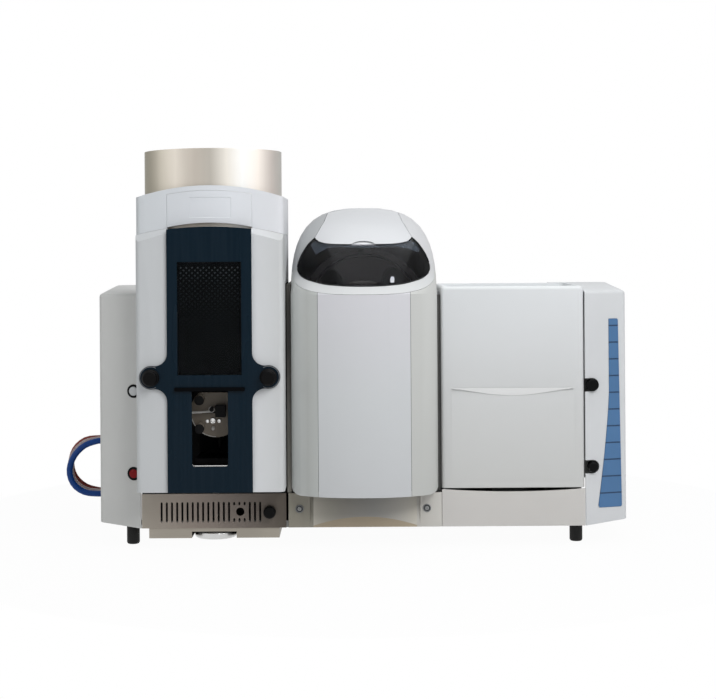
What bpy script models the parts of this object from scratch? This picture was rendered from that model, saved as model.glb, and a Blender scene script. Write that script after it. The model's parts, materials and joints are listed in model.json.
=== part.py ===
"""Bench spectrometer with a flame bay, a lamp tower and a furnace bay on one chassis.

X runs to the right, Y to the back and Z up. Y = 0 is the plane of the kick panels,
and the bench is Z = 0. Every size is in metres.
"""
import math

import bmesh
import bpy
from mathutils import Matrix, Vector

# ---- overall body
FOOT_HEIGHT = 0.037
BODY_TOP = 0.458
BODY_DEPTH = 0.540
FLAME_HALF = 0.130
TOWER_HALF = 0.1313
FURNACE_HALF = 0.1280
TOWER_GAP_LEFT = 0.0097
TOWER_GAP_RIGHT = 0.0067
FURNACE_INSET = 0.001
BODY_HALF = FLAME_HALF + TOWER_HALF + FURNACE_HALF + (TOWER_GAP_LEFT + TOWER_GAP_RIGHT + FURNACE_INSET) / 2
MODULE_BACK = 0.205
PANEL_TOP = 0.0985
SHEET = 0.002
PANEL = 0.003
WALL = 0.003
SEAT = 0.0003
SEAM = 0.0006
OVERRUN = 0.02
FRONT_REACH = 0.087

# ---- chassis
TRAY_HEIGHT = 0.012
FOOT_RADIUS = 0.0118
FOOT_NECK = 0.0100
FOOT_ROUND = 0.003
LEFT_FOOT_OUTSET = 0.023
RIGHT_FOOT_INSET = 0.009
LEFT_FOOT_X = -BODY_HALF - LEFT_FOOT_OUTSET
RIGHT_FOOT_X = BODY_HALF - RIGHT_FOOT_INSET
FRONT_FOOT_Y = 0.055
REAR_FOOT_INSET = 0.050
REAR_FOOT_Y = BODY_DEPTH - REAR_FOOT_INSET
FOOT_TAB = 0.020
HOUSING_ROUND = 0.006

# ---- end covers
COVER_REACH = 0.077
COVER_FLARE = 0.052
COVER_FRONT_HALF = BODY_HALF + COVER_REACH
COVER_REAR_HALF = COVER_FRONT_HALF + COVER_FLARE
COVER_SWEEP = 0.022
COVER_BOTTOM_RISE = 0.008
COVER_GAP = 0.0011
COVER_ROUND = 0.006
COVER_REAR_ROUND = 0.025

# ---- flame bay
FLAME_X = FLAME_HALF - BODY_HALF
FRAME_REACH = 0.061
FRAME_BOTTOM = 0.111
FRAME_ROUND = 0.009
BAND_SETBACK = 0.010
BAND_TOP_MID = 0.5805
BAND_RISE = 0.008
BAND_BOW = 0.0175
BAND_LOW_BOW = 0.0235
BAND_TOP_SIDE = BAND_TOP_MID - BAND_BOW
BAND_LOW_MID = BAND_TOP_MID - BAND_RISE
BAND_LOW_SIDE = BAND_LOW_MID - BAND_LOW_BOW
SILL_TOP = 0.125
CROWN_RISE = 0.0695
CROWN_BOW = 0.021
CROWN_TOP_MID = BAND_TOP_MID + CROWN_RISE
CROWN_TOP_SIDE = CROWN_TOP_MID - CROWN_BOW
CROWN_WALL = 0.0035
CROWN_BACK = 0.150
FASCIA_INSET = 0.055
FASCIA_HALF = FLAME_HALF - FASCIA_INSET
FASCIA_DROP = 0.009
FASCIA_BOW = 0.0065
FASCIA_HEIGHT = 0.057
FASCIA_LOW_BOW = 0.008
FASCIA_TOP_MID = CROWN_TOP_MID - FASCIA_DROP
FASCIA_TOP_SIDE = FASCIA_TOP_MID - FASCIA_BOW
FASCIA_LOW_MID = FASCIA_TOP_MID - FASCIA_HEIGHT
FASCIA_LOW_SIDE = FASCIA_LOW_MID - FASCIA_LOW_BOW
LABEL_HALF = 0.0365
LABEL_DROP = 0.0125
LABEL_HEIGHT = 0.0355
LABEL_HIGH = FASCIA_TOP_MID - LABEL_DROP
LABEL_LOW = LABEL_HIGH - LABEL_HEIGHT
LABEL_DEPTH = 0.0006
CHIMNEY_INSET = 0.0065
CHIMNEY_HALF = FLAME_HALF - CHIMNEY_INSET
CHIMNEY_DEPTH_HALF = 0.075
CHIMNEY_Y = 0.031
CHIMNEY_RISE = 0.066
CHIMNEY_TOP = CROWN_TOP_MID + CHIMNEY_RISE
CHIMNEY_TOP_DROP = 0.004
CHIMNEY_REST = 0.004

# ---- smoked sash and its latch knobs
SASH_INSET = 0.0555
SASH_HALF = FLAME_HALF - SASH_INSET
SASH_THICK = 0.005
SASH_DROP = 0.0035
SASH_BOW = 0.0045
SASH_TOP_MID = BAND_TOP_MID - SASH_DROP
SASH_TOP_SIDE = SASH_TOP_MID - SASH_BOW
EAR_OUT = 0.0285
EAR_X = SASH_HALF + EAR_OUT
EAR_Z = 0.313
EAR_RADIUS = 0.018
EAR_FILLET = 0.024
PANE_INSET = 0.0185
PANE_HALF = SASH_HALF - PANE_INSET
PANE_LOW = 0.317
PANE_HIGH = 0.515
PANE_THICK = 0.003
CUTOUT_HALF = 0.0315
CUTOUT_LOW = 0.156
CUTOUT_HIGH = 0.2895
LEDGE_HALF = 0.0615
LEDGE_HEIGHT = 0.007
LEDGE_REACH = 0.006
RUNNER_WIDTH = 0.0028
RUNNER_DEPTH = 0.008
KNOB_RADIUS = 0.0155
KNOB_HEIGHT = 0.019
KNOB_STEM = 0.0035
KNOB_BORE = 0.0038

# ---- vent plate and burner height wheel
SLOT_FIRST = 0.094
SLOT_FIRST_X = FLAME_X - SLOT_FIRST
SLOT_PITCH = 0.0093
SLOT_WIDTH = 0.0036
SLOT_COUNT = 20
SLOT_LOW = 0.047
SLOT_HIGH = 0.084
VENT_HOLE_OUT = 0.047
VENT_HOLE_X = FLAME_X + VENT_HOLE_OUT
VENT_HOLE_RADIUS = 0.0075
VENT_KNOB_OUT = 0.100
VENT_KNOB_X = FLAME_X + VENT_KNOB_OUT
VENT_KNOB_RADIUS = 0.011
VENT_KNOB_HEIGHT = 0.014
VENT_CONTROL_Z = 0.066
PAN_INSET = 0.013
PAN_HALF = FLAME_HALF - PAN_INSET
PAN_LOW = 0.0185
PAN_BACK = 0.120
WHEEL_RADIUS = 0.038
WHEEL_LOW = 0.0155
WHEEL_HIGH = 0.028
WHEEL_ROUND = 0.002
WHEEL_Y = 0.040
SCREW_RADIUS = 0.006
SCREW_TOP = 0.135
SCREW_CLEARANCE = 0.0004

# ---- burner, spray chamber and nebuliser
BURNER_OUT = 0.005
BURNER_X = FLAME_X + BURNER_OUT
CARRIAGE_LOW = 0.150
CARRIAGE_PLATE = 0.008
CARRIAGE_HALF = 0.040
CARRIAGE_FRONT = 0.026
CARRIAGE_BACK = 0.105
CARRIAGE_TOP = 0.300
BOSS_RADIUS = 0.012
BOSS_LOW = 0.100
CHAMBER_Z = 0.246
CHAMBER_RADIUS = 0.036
CHAMBER_FRONT = 0.005
END_PLATE_RADIUS = 0.046
END_PLATE_THICK = 0.008
END_PLATE_FLAT_Z = 0.280
DRAIN_RADIUS = 0.006
DRAIN_LOW = 0.172
NECK_RADIUS = 0.012
NECK_Y = 0.035
NECK_TOP = 0.352
HEAD_LOW = 0.3523
HEAD_HIGH = 0.385
HEAD_HALF = 0.058
HEAD_DEPTH = 0.032
HEAD_TOP_DEPTH = 0.014
FLAME_SLOT_LENGTH = 0.100
FLAME_SLOT_WIDTH = 0.0008
FLAME_SLOT_DEPTH = 0.012
THUMB_RADIUS = 0.007
THUMB_LENGTH = 0.010
THUMB_X = 0.027
THUMB_Z = 0.025
NEB_BLOCK_HALF = 0.009
NEB_BLOCK_HEIGHT = 0.021
NEB_BLOCK_LENGTH = 0.018
NEB_OUT = 0.009
NEB_X = BURNER_X + NEB_OUT
NEB_Z = 0.2485
NEB_PIPE_RADIUS = 0.0017
NEB_NUT_OUT = 0.045
NEB_NUT_X = BURNER_X - NEB_NUT_OUT
NEB_NUT_RADIUS = 0.005
NEB_NUT_LENGTH = 0.008

# ---- lamp tower
TOWER_X = FLAME_X + FLAME_HALF + TOWER_GAP_LEFT + TOWER_HALF
TOWER_BULGE = 0.061
TOWER_BACK = 0.360
TOWER_CORNER = 0.018
TOWER_SEAM_INSET = 0.0493
TOWER_SEAM_X = TOWER_HALF - TOWER_SEAM_INSET
RIM_BASE = 0.456
RIM_SIDE = 0.495
RIM_INSET = 0.0038
RIM_HALF = TOWER_HALF - RIM_INSET
DOME_RISE = 0.1585
DOME_RUN = 0.351
DOME_BACK_DROP = 0.050
HINGE_Y = 0.210
HINGE_Z = 0.6108
LID_EDGE_RADIUS = 0.2953
LID_CORNER_RADIUS = 0.231
LID_CORNER_INSET = 0.0108
LID_CORNER_HALF = TOWER_HALF - LID_CORNER_INSET
CAP_CORNER_RADIUS = 0.187
CAP_CORNER_HALF = 0.088
CAP_REAR_HALF = 0.067
CAP_FRONT_LOW = 0.5440
CAP_FRONT_HIGH = 0.5600
LID_GAP = 0.0008
NOTCH_HALF = 0.0115
NOTCH_RISE = 0.0060
BAY_FRONT = 0.000
BAY_BACK = 0.196
BAY_LOW = 0.300
BAY_TOP = 0.452
WHEEL_AXIS_Z = 0.425
ROTOR_RADIUS = 0.100
ROTOR_Y = 0.050
ROTOR_THICK = 0.006
LAMP_RING = 0.078
LAMP_RADIUS = 0.019
LAMP_COUNT = 4
LAMP_FRONT = 0.022
LAMP_LENGTH = 0.110
LAMP_BULB_RADIUS = 0.0175
ROTOR_HUB_RADIUS = 0.014
ROTOR_SHAFT_RADIUS = 0.006

# ---- kick panel
KICK_SPREAD = 0.0062
KICK_HALF = TOWER_HALF + KICK_SPREAD
SCOOP_INSET = 0.0385
SCOOP_HALF = KICK_HALF - SCOOP_INSET
SCOOP_DEPTH = 0.010
SCOOP_LIP_MID = 0.0555
SCOOP_LIP_SIDE = 0.0400

# ---- furnace bay
FURNACE_X = BODY_HALF - FURNACE_INSET - FURNACE_HALF
LID_LOW = 0.106
LID_TOP = 0.467
LID_BACK = 0.195
LID_ROUND = 0.006
LID_SKIRT = 0.030
TRAY_DEPTH = 0.008
TRAY_RIM = 0.009
LEDGE_Z = 0.284
LEDGE_SPAN = 0.110
LEDGE_DROP = 0.0105
LEDGE_CUT = 0.0035
DIP = 0.005
FURNACE_HINGE_Y = 0.188
FURNACE_HINGE_Z = 0.4525
HEAD_BLOCK_HALF = 0.050
HEAD_BLOCK_DEPTH = 0.080
HEAD_BLOCK_LOW = 0.230
HEAD_BLOCK_HIGH = 0.330
TUBE_BORE = 0.006
TUBE_Z = 0.290

# ---- controls on the end covers
POWER_OUT = 0.0134
POWER_X = -BODY_HALF - POWER_OUT
POWER_Z = 0.283
STOP_OUT = 0.0138
STOP_X = -BODY_HALF - STOP_OUT
STOP_Z = 0.135
BEZEL_RADIUS = 0.0123
BEZEL_LIP = 0.002
BEZEL_BARREL = 0.0104
BEZEL_BORE = 0.0085
BEZEL_DEPTH = 0.014
BUTTON_RADIUS = 0.0081
BUTTON_PROUD = 0.0035
BUTTON_TAIL = 0.012
ADJUST_OUT = 0.0145
ADJUST_X = BODY_HALF + ADJUST_OUT
ADJUST_HIGH_Z = 0.289
ADJUST_LOW_Z = 0.142
ADJUST_HIGH_RADIUS = 0.0108
ADJUST_LOW_RADIUS = 0.0092
ADJUST_FRONT = -0.004
ADJUST_LENGTH = 0.018
ADJUST_SHAFT = 0.003
ADJUST_PLATE_Y = 0.034
ADJUST_PLATE_OUT = 0.0175
ADJUST_PLATE_REACH = ADJUST_X + ADJUST_PLATE_OUT
NOTCH_RADIUS = 0.0120
STRIPE_TOP = 0.407
STRIPE_LOW = 0.068
STRIPE_THICK = 0.0016
STRIPE_BEND_Z = 0.275
STRIPE_INNER_OUT = 0.0455
STRIPE_LOW_INNER_OUT = 0.0245
STRIPE_TOP_INSET = 0.0140
STRIPE_LOW_INSET = 0.0085
STRIPE_INNER_X = BODY_HALF + STRIPE_INNER_OUT
STRIPE_LOW_INNER_X = BODY_HALF + STRIPE_LOW_INNER_OUT
STRIPE_TOP_OUTER_X = COVER_FRONT_HALF - STRIPE_TOP_INSET
STRIPE_LOW_OUTER_X = COVER_FRONT_HALF - STRIPE_LOW_INSET
GROOVE_FIRST_Z = 0.3946
GROOVE_PITCH = 0.0301
GROOVE_HEIGHT = 0.0026
GROOVE_DEPTH = 0.0009
GROOVE_STOP = 0.0035
GROOVE_COUNT = 11

# ---- rear and side services
PORT_Y = BODY_DEPTH / 2
PORT_HALF = 0.034
PORT_LOW = 0.049
PORT_HIGH = 0.176
PORT_SPACING = 0.020
PORT_UP_Z = 0.162
PORT_DOWN_Z = 0.0585
PORT_BOSS_RADIUS = 0.0085
PORT_BOSS_LENGTH = 0.006
HOSE_RADIUS = 0.006
HOSE_STRAIGHT = 0.012
HOSE_STEP = 0.015
FAN_INSET = 0.178
FAN_X = FAN_INSET - BODY_HALF
FAN_Z = 0.30
FAN_HALF = 0.045
FAN_SLOT = 0.005
INLET_INSET = 0.098
INLET_X = BODY_HALF - INLET_INSET
INLET_Z = 0.12
INLET_HALF = 0.025
INLET_HEIGHT_HALF = 0.017
INLET_DEPTH = 0.020

# ---- inside the rear housing
MONO_TOP = 0.230
SUPPLY_TOP = 0.150

CENTRE_Y = (BODY_DEPTH + WALL - FRONT_REACH) / 2
ROUND_SIDES = 24
ARC_STEPS = 8

PARTS = bpy.data.collections.new("atomic_absorption_spectrometer")
CUTTERS = bpy.data.collections.new("spectrometer_cutters")
FINISHES = {}


# ---- modelling helpers

def finish(name, colour, roughness, metallic=0.0):
    """One Principled material for each finish of the product."""
    if name not in FINISHES:
        made = bpy.data.materials.new(name)
        made.use_nodes = True
        shader = made.node_tree.nodes["Principled BSDF"]
        shader.inputs["Base Color"].default_value = (*colour, 1)
        shader.inputs["Roughness"].default_value = roughness
        shader.inputs["Metallic"].default_value = metallic
        FINISHES[name] = made
    return FINISHES[name]


def origin_of(parent):
    """Where a parent stands in the design frame."""
    place = Vector((0, 0, 0))
    while parent is not None and parent.parent is not None:
        place += parent.location
        parent = parent.parent
    return place


def place(obj, parent, at, turn=0.0):
    """Parent an object and put its origin at a point of the design frame."""
    obj.parent = parent
    obj.location = Vector(at) - origin_of(parent)
    obj.rotation_euler = (0, 0, turn)


def pivot(name, parent, at, turn=0.0):
    """An empty on a joint's axis."""
    empty = bpy.data.objects.new(name, None)
    PARTS.objects.link(empty)
    place(empty, parent, at, turn)
    return empty


def part(name, mesh, look, parent, at=(0, 0, 0), turn=0.0):
    """A named piece in its finish. The mesh is drawn about the point it is placed at."""
    obj = bpy.data.objects.new(name, mesh)
    PARTS.objects.link(obj)
    mesh.materials.clear()
    mesh.materials.append(look)
    place(obj, parent, at, turn)
    return obj


def cutter(mesh, parent, at=(0, 0, 0), turn=0.0):
    obj = bpy.data.objects.new("cutter", mesh)
    CUTTERS.objects.link(obj)
    obj.hide_render = True
    obj.display_type = "WIRE"
    place(obj, parent, at, turn)
    return obj


def boolean(obj, operation, *others):
    for other in others:
        step = obj.modifiers.new(operation.title(), "BOOLEAN")
        step.operation = operation
        step.solver = "EXACT"
        step.object = other
    return obj


def cut(obj, *others):
    return boolean(obj, "DIFFERENCE", *others)


def fuse(obj, *others):
    return boolean(obj, "UNION", *others)


def keep(obj, *others):
    return boolean(obj, "INTERSECT", *others)


def soften(obj, width, segments=2):
    """Rounded edges on a piece."""
    step = obj.modifiers.new("Soften", "BEVEL")
    step.width = width
    step.segments = segments
    step.limit_method = "ANGLE"
    step.angle_limit = math.radians(40)
    return obj


def smooth(obj):
    obj.data.shade_smooth()
    obj.data.set_sharp_from_angle(angle=math.radians(35))
    return obj


def from_bmesh(shape):
    bmesh.ops.recalc_face_normals(shape, faces=shape.faces)
    mesh = bpy.data.meshes.new("shape")
    shape.to_mesh(mesh)
    shape.free()
    return mesh


def box(low, high):
    """A block between two corners."""
    shape = bmesh.new()
    bmesh.ops.create_cube(shape, size=1)
    low, high = Vector(low), Vector(high)
    for vert in shape.verts:
        share = [c + 0.5 for c in vert.co]
        vert.co = [a + (b - a) * s for a, b, s in zip(low, high, share)]
    return from_bmesh(shape)


def round_box(low, high, radius, chosen, segments=3):
    """A block whose chosen edges are rounded. chosen gets an edge's two ends."""
    shape = bmesh.new()
    shape.from_mesh(box(low, high))
    edges = [e for e in shape.edges if chosen(e.verts[0].co, e.verts[1].co)]
    bmesh.ops.bevel(shape, geom=edges, offset=radius, segments=segments, profile=0.5, affect="EDGES")
    return from_bmesh(shape)


def upright(a, b):
    """An edge that runs up the block."""
    return abs(a.z - b.z) > abs(a.x - b.x) + abs(a.y - b.y)


AXIS_TURNS = {
    "X": Matrix.Rotation(math.pi / 2, 4, "Y"),
    "Y": Matrix.Rotation(-math.pi / 2, 4, "X"),
    "Z": Matrix.Identity(4),
}


def rod(radius, start, end, axis="Z", centre=(0, 0), sides=ROUND_SIDES, end_radius=None):
    """A round bar from start to end along an axis, about a centre given in the other two."""
    shape = bmesh.new()
    last = radius if end_radius is None else end_radius
    bmesh.ops.create_cone(
        shape, cap_ends=True, segments=sides, radius1=radius, radius2=last, depth=end - start
    )
    middle = (start + end) / 2
    spots = {
        "X": (middle, centre[0], centre[1]),
        "Y": (centre[0], middle, centre[1]),
        "Z": (centre[0], centre[1], middle),
    }
    shape.transform(Matrix.Translation(Vector(spots[axis])) @ AXIS_TURNS[axis])
    return from_bmesh(shape)


def turned(profile, axis="Z", sides=ROUND_SIDES):
    """A turned shape: the profile runs down its outer side, top to bottom."""
    shape = bmesh.new()
    verts = [shape.verts.new((r, 0, h)) for r, h in profile]
    closed = profile[0] == profile[-1]
    if closed:
        shape.verts.remove(verts.pop())
        verts.append(verts[0])
    for a, b in zip(verts, verts[1:]):
        shape.edges.new((a, b))
    mesh = bpy.data.meshes.new("profile")
    shape.to_mesh(mesh)
    shape.free()
    obj = bpy.data.objects.new("profile", mesh)
    bpy.context.scene.collection.objects.link(obj)
    step = obj.modifiers.new("Turn", "SCREW")
    step.axis = "Z"
    step.angle = 2 * math.pi
    step.steps = sides
    step.render_steps = sides
    step.use_merge_vertices = True
    step.merge_threshold = 0.00001
    result = evaluated(obj)
    result.transform(AXIS_TURNS[axis])
    return result


def evaluated(obj):
    """The finished mesh of an object, which is then removed."""
    bpy.context.view_layer.update()
    graph = bpy.context.evaluated_depsgraph_get()
    mesh = bpy.data.meshes.new_from_object(obj.evaluated_get(graph))
    bpy.data.objects.remove(obj, do_unlink=True)
    shape = bmesh.new()
    shape.from_mesh(mesh)
    bmesh.ops.remove_doubles(shape, verts=shape.verts, dist=0.00001)
    bmesh.ops.dissolve_limit(
        shape, angle_limit=math.radians(0.2), verts=shape.verts, edges=shape.edges
    )
    return from_bmesh(shape)


def outline(points, start, end, axis="Z"):
    """A flat outline of points, made solid from start to end along an axis.

    With axis Y the points are X and Z, and with axis Z they are X and Y.
    """
    curve = bpy.data.curves.new("outline", "CURVE")
    curve.dimensions = "2D"
    curve.fill_mode = "BOTH"
    curve.extrude = abs(end - start) / 2
    line = curve.splines.new("POLY")
    line.points.add(len(points) - 1)
    for point, (x, y) in zip(line.points, points):
        point.co = (x, y, 0, 1)
    line.use_cyclic_u = True
    obj = bpy.data.objects.new("outline", curve)
    bpy.context.scene.collection.objects.link(obj)
    mesh = evaluated(obj)
    middle = (start + end) / 2
    if axis == "Y":
        mesh.transform(Matrix.Translation((0, middle, 0)) @ Matrix.Rotation(math.pi / 2, 4, "X"))
    elif axis == "X":
        turn = Matrix.Rotation(math.pi / 2, 4, "Z") @ Matrix.Rotation(math.pi / 2, 4, "X")
        mesh.transform(Matrix.Translation((middle, 0, 0)) @ turn)
    else:
        mesh.transform(Matrix.Translation((0, 0, middle)))
    return mesh


def loft(rings):
    """A solid through rings of equal count, closed at both ends."""
    shape = bmesh.new()
    rows = [[shape.verts.new(p) for p in ring] for ring in rings]
    count = len(rows[0])
    for low, high in zip(rows, rows[1:]):
        for i in range(count):
            j = (i + 1) % count
            shape.faces.new((low[i], low[j], high[j], high[i]))
    shape.faces.new(list(reversed(rows[0])))
    shape.faces.new(rows[-1])
    return from_bmesh(shape)


def merged(*meshes):
    """Several shapes that don't meet, as one cutter."""
    shape = bmesh.new()
    for mesh in meshes:
        shape.from_mesh(mesh)
    return from_bmesh(shape)


def arc(cx, cy, radius, start, end, steps=ARC_STEPS):
    """Points along an arc, its angles in degrees."""
    angles = [math.radians(start + (end - start) * i / steps) for i in range(steps + 1)]
    return [(cx + radius * math.cos(a), cy + radius * math.sin(a)) for a in angles]


def rounded(half_x, low, high, radius, cx=0.0):
    """A rectangle with round corners, as outline points."""
    right, left = cx + half_x - radius, cx - half_x + radius
    return (
        arc(right, low + radius, radius, -90, 0, 4)
        + arc(right, high - radius, radius, 0, 90, 4)
        + arc(left, high - radius, radius, 90, 180, 4)
        + arc(left, low + radius, radius, 180, 270, 4)
    )


def bow(x, half, side, middle):
    """The height of a shallow arch at x."""
    return middle - (middle - side) * (x / half) ** 2


def bowed_edge(half, side, middle, steps=16, span=None):
    span = half if span is None else span
    spots = [span - 2 * span * i / steps for i in range(steps + 1)]
    return [(x, bow(x, half, side, middle)) for x in spots]


def finishes():
    return {
        "housing": finish("housing_white", (0.70, 0.72, 0.73), 0.45),
        "lower": finish("housing_grey", (0.55, 0.54, 0.52), 0.5),
        "navy": finish("sash_navy", (0.010, 0.018, 0.032), 0.25),
        "smoked": finish("smoked_pane", (0.008, 0.010, 0.014), 0.1),
        "mesh": finish("mesh_black", (0.012, 0.012, 0.013), 0.6),
        "black": finish("knob_black", (0.010, 0.010, 0.011), 0.4),
        "rubber": finish("foot_rubber", (0.012, 0.011, 0.010), 0.7),
        "champagne": finish("chimney_metal", (0.62, 0.56, 0.48), 0.35, 1.0),
        "stainless": finish("vent_steel", (0.45, 0.41, 0.37), 0.4, 1.0),
        "silver": finish("wheel_silver", (0.70, 0.70, 0.69), 0.35, 1.0),
        "chassis": finish("chassis_grey", (0.30, 0.30, 0.31), 0.5, 0.3),
        "burner": finish("burner_titanium", (0.35, 0.33, 0.31), 0.35, 1.0),
        "chamber": finish("chamber_grey", (0.22, 0.19, 0.16), 0.5, 0.4),
        "well": finish("well_brown", (0.030, 0.025, 0.023), 0.6),
        "lamp": finish("lamp_black", (0.008, 0.008, 0.008), 0.5),
        "blue": finish("stripe_blue", (0.075, 0.19, 0.38), 0.5),
        "red": finish("button_red", (0.22, 0.006, 0.008), 0.35),
        "cap": finish("button_grey", (0.55, 0.56, 0.57), 0.4),
        "hose_blue": finish("hose_blue", (0.010, 0.050, 0.25), 0.35),
        "hose_clear": finish("hose_clear", (0.45, 0.35, 0.36), 0.25),
        "hose_red": finish("hose_red", (0.20, 0.030, 0.020), 0.4),
        "brass": finish("port_brass", (0.55, 0.42, 0.20), 0.35, 1.0),
        "graphite": finish("furnace_grey", (0.15, 0.15, 0.16), 0.45, 0.6),
    }


# ---- chassis, end covers and services

TRAY_HALF = BODY_HALF - SEAM
TRAY_FRONT = PANEL + SEAT
TRAY_FLOOR = FOOT_HEIGHT + SHEET


def build_chassis(look, root):
    top = FOOT_HEIGHT + TRAY_HEIGHT
    tray = part("base_tray", box((-TRAY_HALF, TRAY_FRONT, FOOT_HEIGHT), (TRAY_HALF, BODY_DEPTH, top)),
                look["chassis"], root)
    inner = TRAY_HALF - SHEET
    cut(tray, cutter(box((-inner, TRAY_FRONT + SHEET, TRAY_FLOOR),
                         (inner, BODY_DEPTH - SHEET, top + OVERRUN)), root))
    for y in (FRONT_FOOT_Y, REAR_FOOT_Y):
        tab = box((LEFT_FOOT_X - FOOT_TAB, y - FOOT_TAB, FOOT_HEIGHT),
                  (-TRAY_HALF + SHEET, y + FOOT_TAB, TRAY_FLOOR))
        fuse(tray, cutter(tab, root))
    cut(tray, cutter(rod(SCREW_RADIUS + SCREW_CLEARANCE, FOOT_HEIGHT - OVERRUN, top, "Z",
                         (FLAME_X, WHEEL_Y)), root))
    foot = turned([(0, FOOT_HEIGHT - SEAT), (FOOT_RADIUS, FOOT_HEIGHT - SEAT),
                   (FOOT_RADIUS, FOOT_ROUND), (FOOT_NECK, 0), (0, 0)], sides=20)
    feet = (("foot_front_left", LEFT_FOOT_X, FRONT_FOOT_Y), ("foot_front_right", RIGHT_FOOT_X - SEAM, FRONT_FOOT_Y),
            ("foot_rear_left", LEFT_FOOT_X, REAR_FOOT_Y), ("foot_rear_right", RIGHT_FOOT_X - SEAM, REAR_FOOT_Y))
    for name, x, y in feet:
        smooth(part(name, foot.copy(), look["rubber"], root, (x, y, 0)))

    half = TRAY_HALF - SHEET - SEAT
    back = BODY_DEPTH - SHEET - SEAT
    low = TRAY_FLOOR + SEAT
    high = BODY_TOP - WALL
    housing = part("rear_housing", round_box((-half, MODULE_BACK, low), (half, back, high), HOUSING_ROUND,
                                             lambda a, b: a.z > low and b.z > low and abs(a.x - b.x) > half),
                   look["housing"], root)
    cut(housing, cutter(box((-half + WALL, MODULE_BACK + WALL, low - OVERRUN),
                            (half - WALL, back - WALL, high - WALL)), root))
    cut(housing, cutter(box((INLET_X - INLET_HALF, back - 2 * WALL, INLET_Z - INLET_HEIGHT_HALF),
                            (INLET_X + INLET_HALF, back + OVERRUN, INLET_Z + INLET_HEIGHT_HALF)), root))
    build_rear(look, root, back)
    build_inside(look, root, back - WALL, low)


def build_rear(look, root, back):
    lip = INLET_HALF + WALL
    rise = INLET_HEIGHT_HALF + WALL
    inlet = part("mains_inlet", box((-lip, 0, -rise), (lip, WALL, rise)), look["black"], root,
                 (INLET_X, back + SEAT, INLET_Z))
    at = (INLET_X, back + SEAT, INLET_Z)
    body_half = INLET_HALF - SEAT
    body_rise = INLET_HEIGHT_HALF - SEAT
    fuse(inlet, cutter(box((-body_half, -INLET_DEPTH, -body_rise), (body_half, WALL / 2, body_rise)), root, at))
    well_half = body_half - WALL
    well_rise = body_rise - WALL
    cut(inlet, cutter(box((-well_half, -INLET_DEPTH + WALL, -well_rise), (well_half, WALL + OVERRUN, well_rise)),
                      root, at))
    grille = part("fan_grille", box((-FAN_HALF, 0, -FAN_HALF), (FAN_HALF, WALL, FAN_HALF)), look["black"], root,
                  (FAN_X, back + SEAT, FAN_Z))
    rings = []
    for ring in range(3):
        outer = FAN_HALF - WALL - ring * 2 * FAN_SLOT * 1.3
        rings.append(turned([(outer, WALL + OVERRUN), (outer, -OVERRUN), (outer - FAN_SLOT, -OVERRUN),
                             (outer - FAN_SLOT, WALL + OVERRUN), (outer, WALL + OVERRUN)], "Y", 16))
    slots = cutter(merged(*rings), root, (FAN_X, back + SEAT, FAN_Z))
    spoke = box((-FAN_SLOT / 2, -2 * OVERRUN, -FAN_HALF), (FAN_SLOT / 2, 2 * OVERRUN, FAN_HALF))
    cross = box((-FAN_HALF, -2 * OVERRUN, -FAN_SLOT / 2), (FAN_HALF, 2 * OVERRUN, FAN_SLOT / 2))
    for bar in (spoke, cross):
        cut(slots, cutter(bar, root, (FAN_X, back + SEAT, FAN_Z)))
    cut(grille, slots)


def build_inside(look, root, back, low):
    """The optics and supplies that the rear housing covers."""
    front = MODULE_BACK + 2 * WALL
    rear = back - 2 * WALL
    half = TRAY_HALF - 2 * FOOT_TAB
    split = -half / 2
    depth = rear - front
    mono = round_box((split + FOOT_TAB, front + depth / 8, low), (half * 0.86, rear - depth / 8, MONO_TOP),
                     COVER_REAR_ROUND, upright, 2)
    optics = part("monochromator", mono, look["lamp"], root)
    skin = 2 * WALL
    cut(optics, cutter(box((split + FOOT_TAB + skin, front + depth / 8 + skin, low - OVERRUN),
                           (half * 0.86 - skin, rear - depth / 8 - skin, MONO_TOP - skin)), root))
    supply = part("power_supply", box((-half, front + depth / 4, low), (split, rear, SUPPLY_TOP)),
                  look["silver"], root)
    soften(supply, SHEET, 1)
    cut(supply, cutter(box((-half + WALL, front + depth / 4 + WALL, low - OVERRUN),
                           (split - WALL, rear - WALL, SUPPLY_TOP - WALL)), root))


def face_turn(side):
    """How far the swept front face of an end cover is turned about Z."""
    return side * math.atan2(COVER_SWEEP, COVER_FRONT_HALF - BODY_HALF)


def face_point(side, x, z):
    """A point of that face, at a world X."""
    share = (abs(x) - BODY_HALF) / (COVER_FRONT_HALF - BODY_HALF)
    return (x, share * COVER_SWEEP, z)


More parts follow.
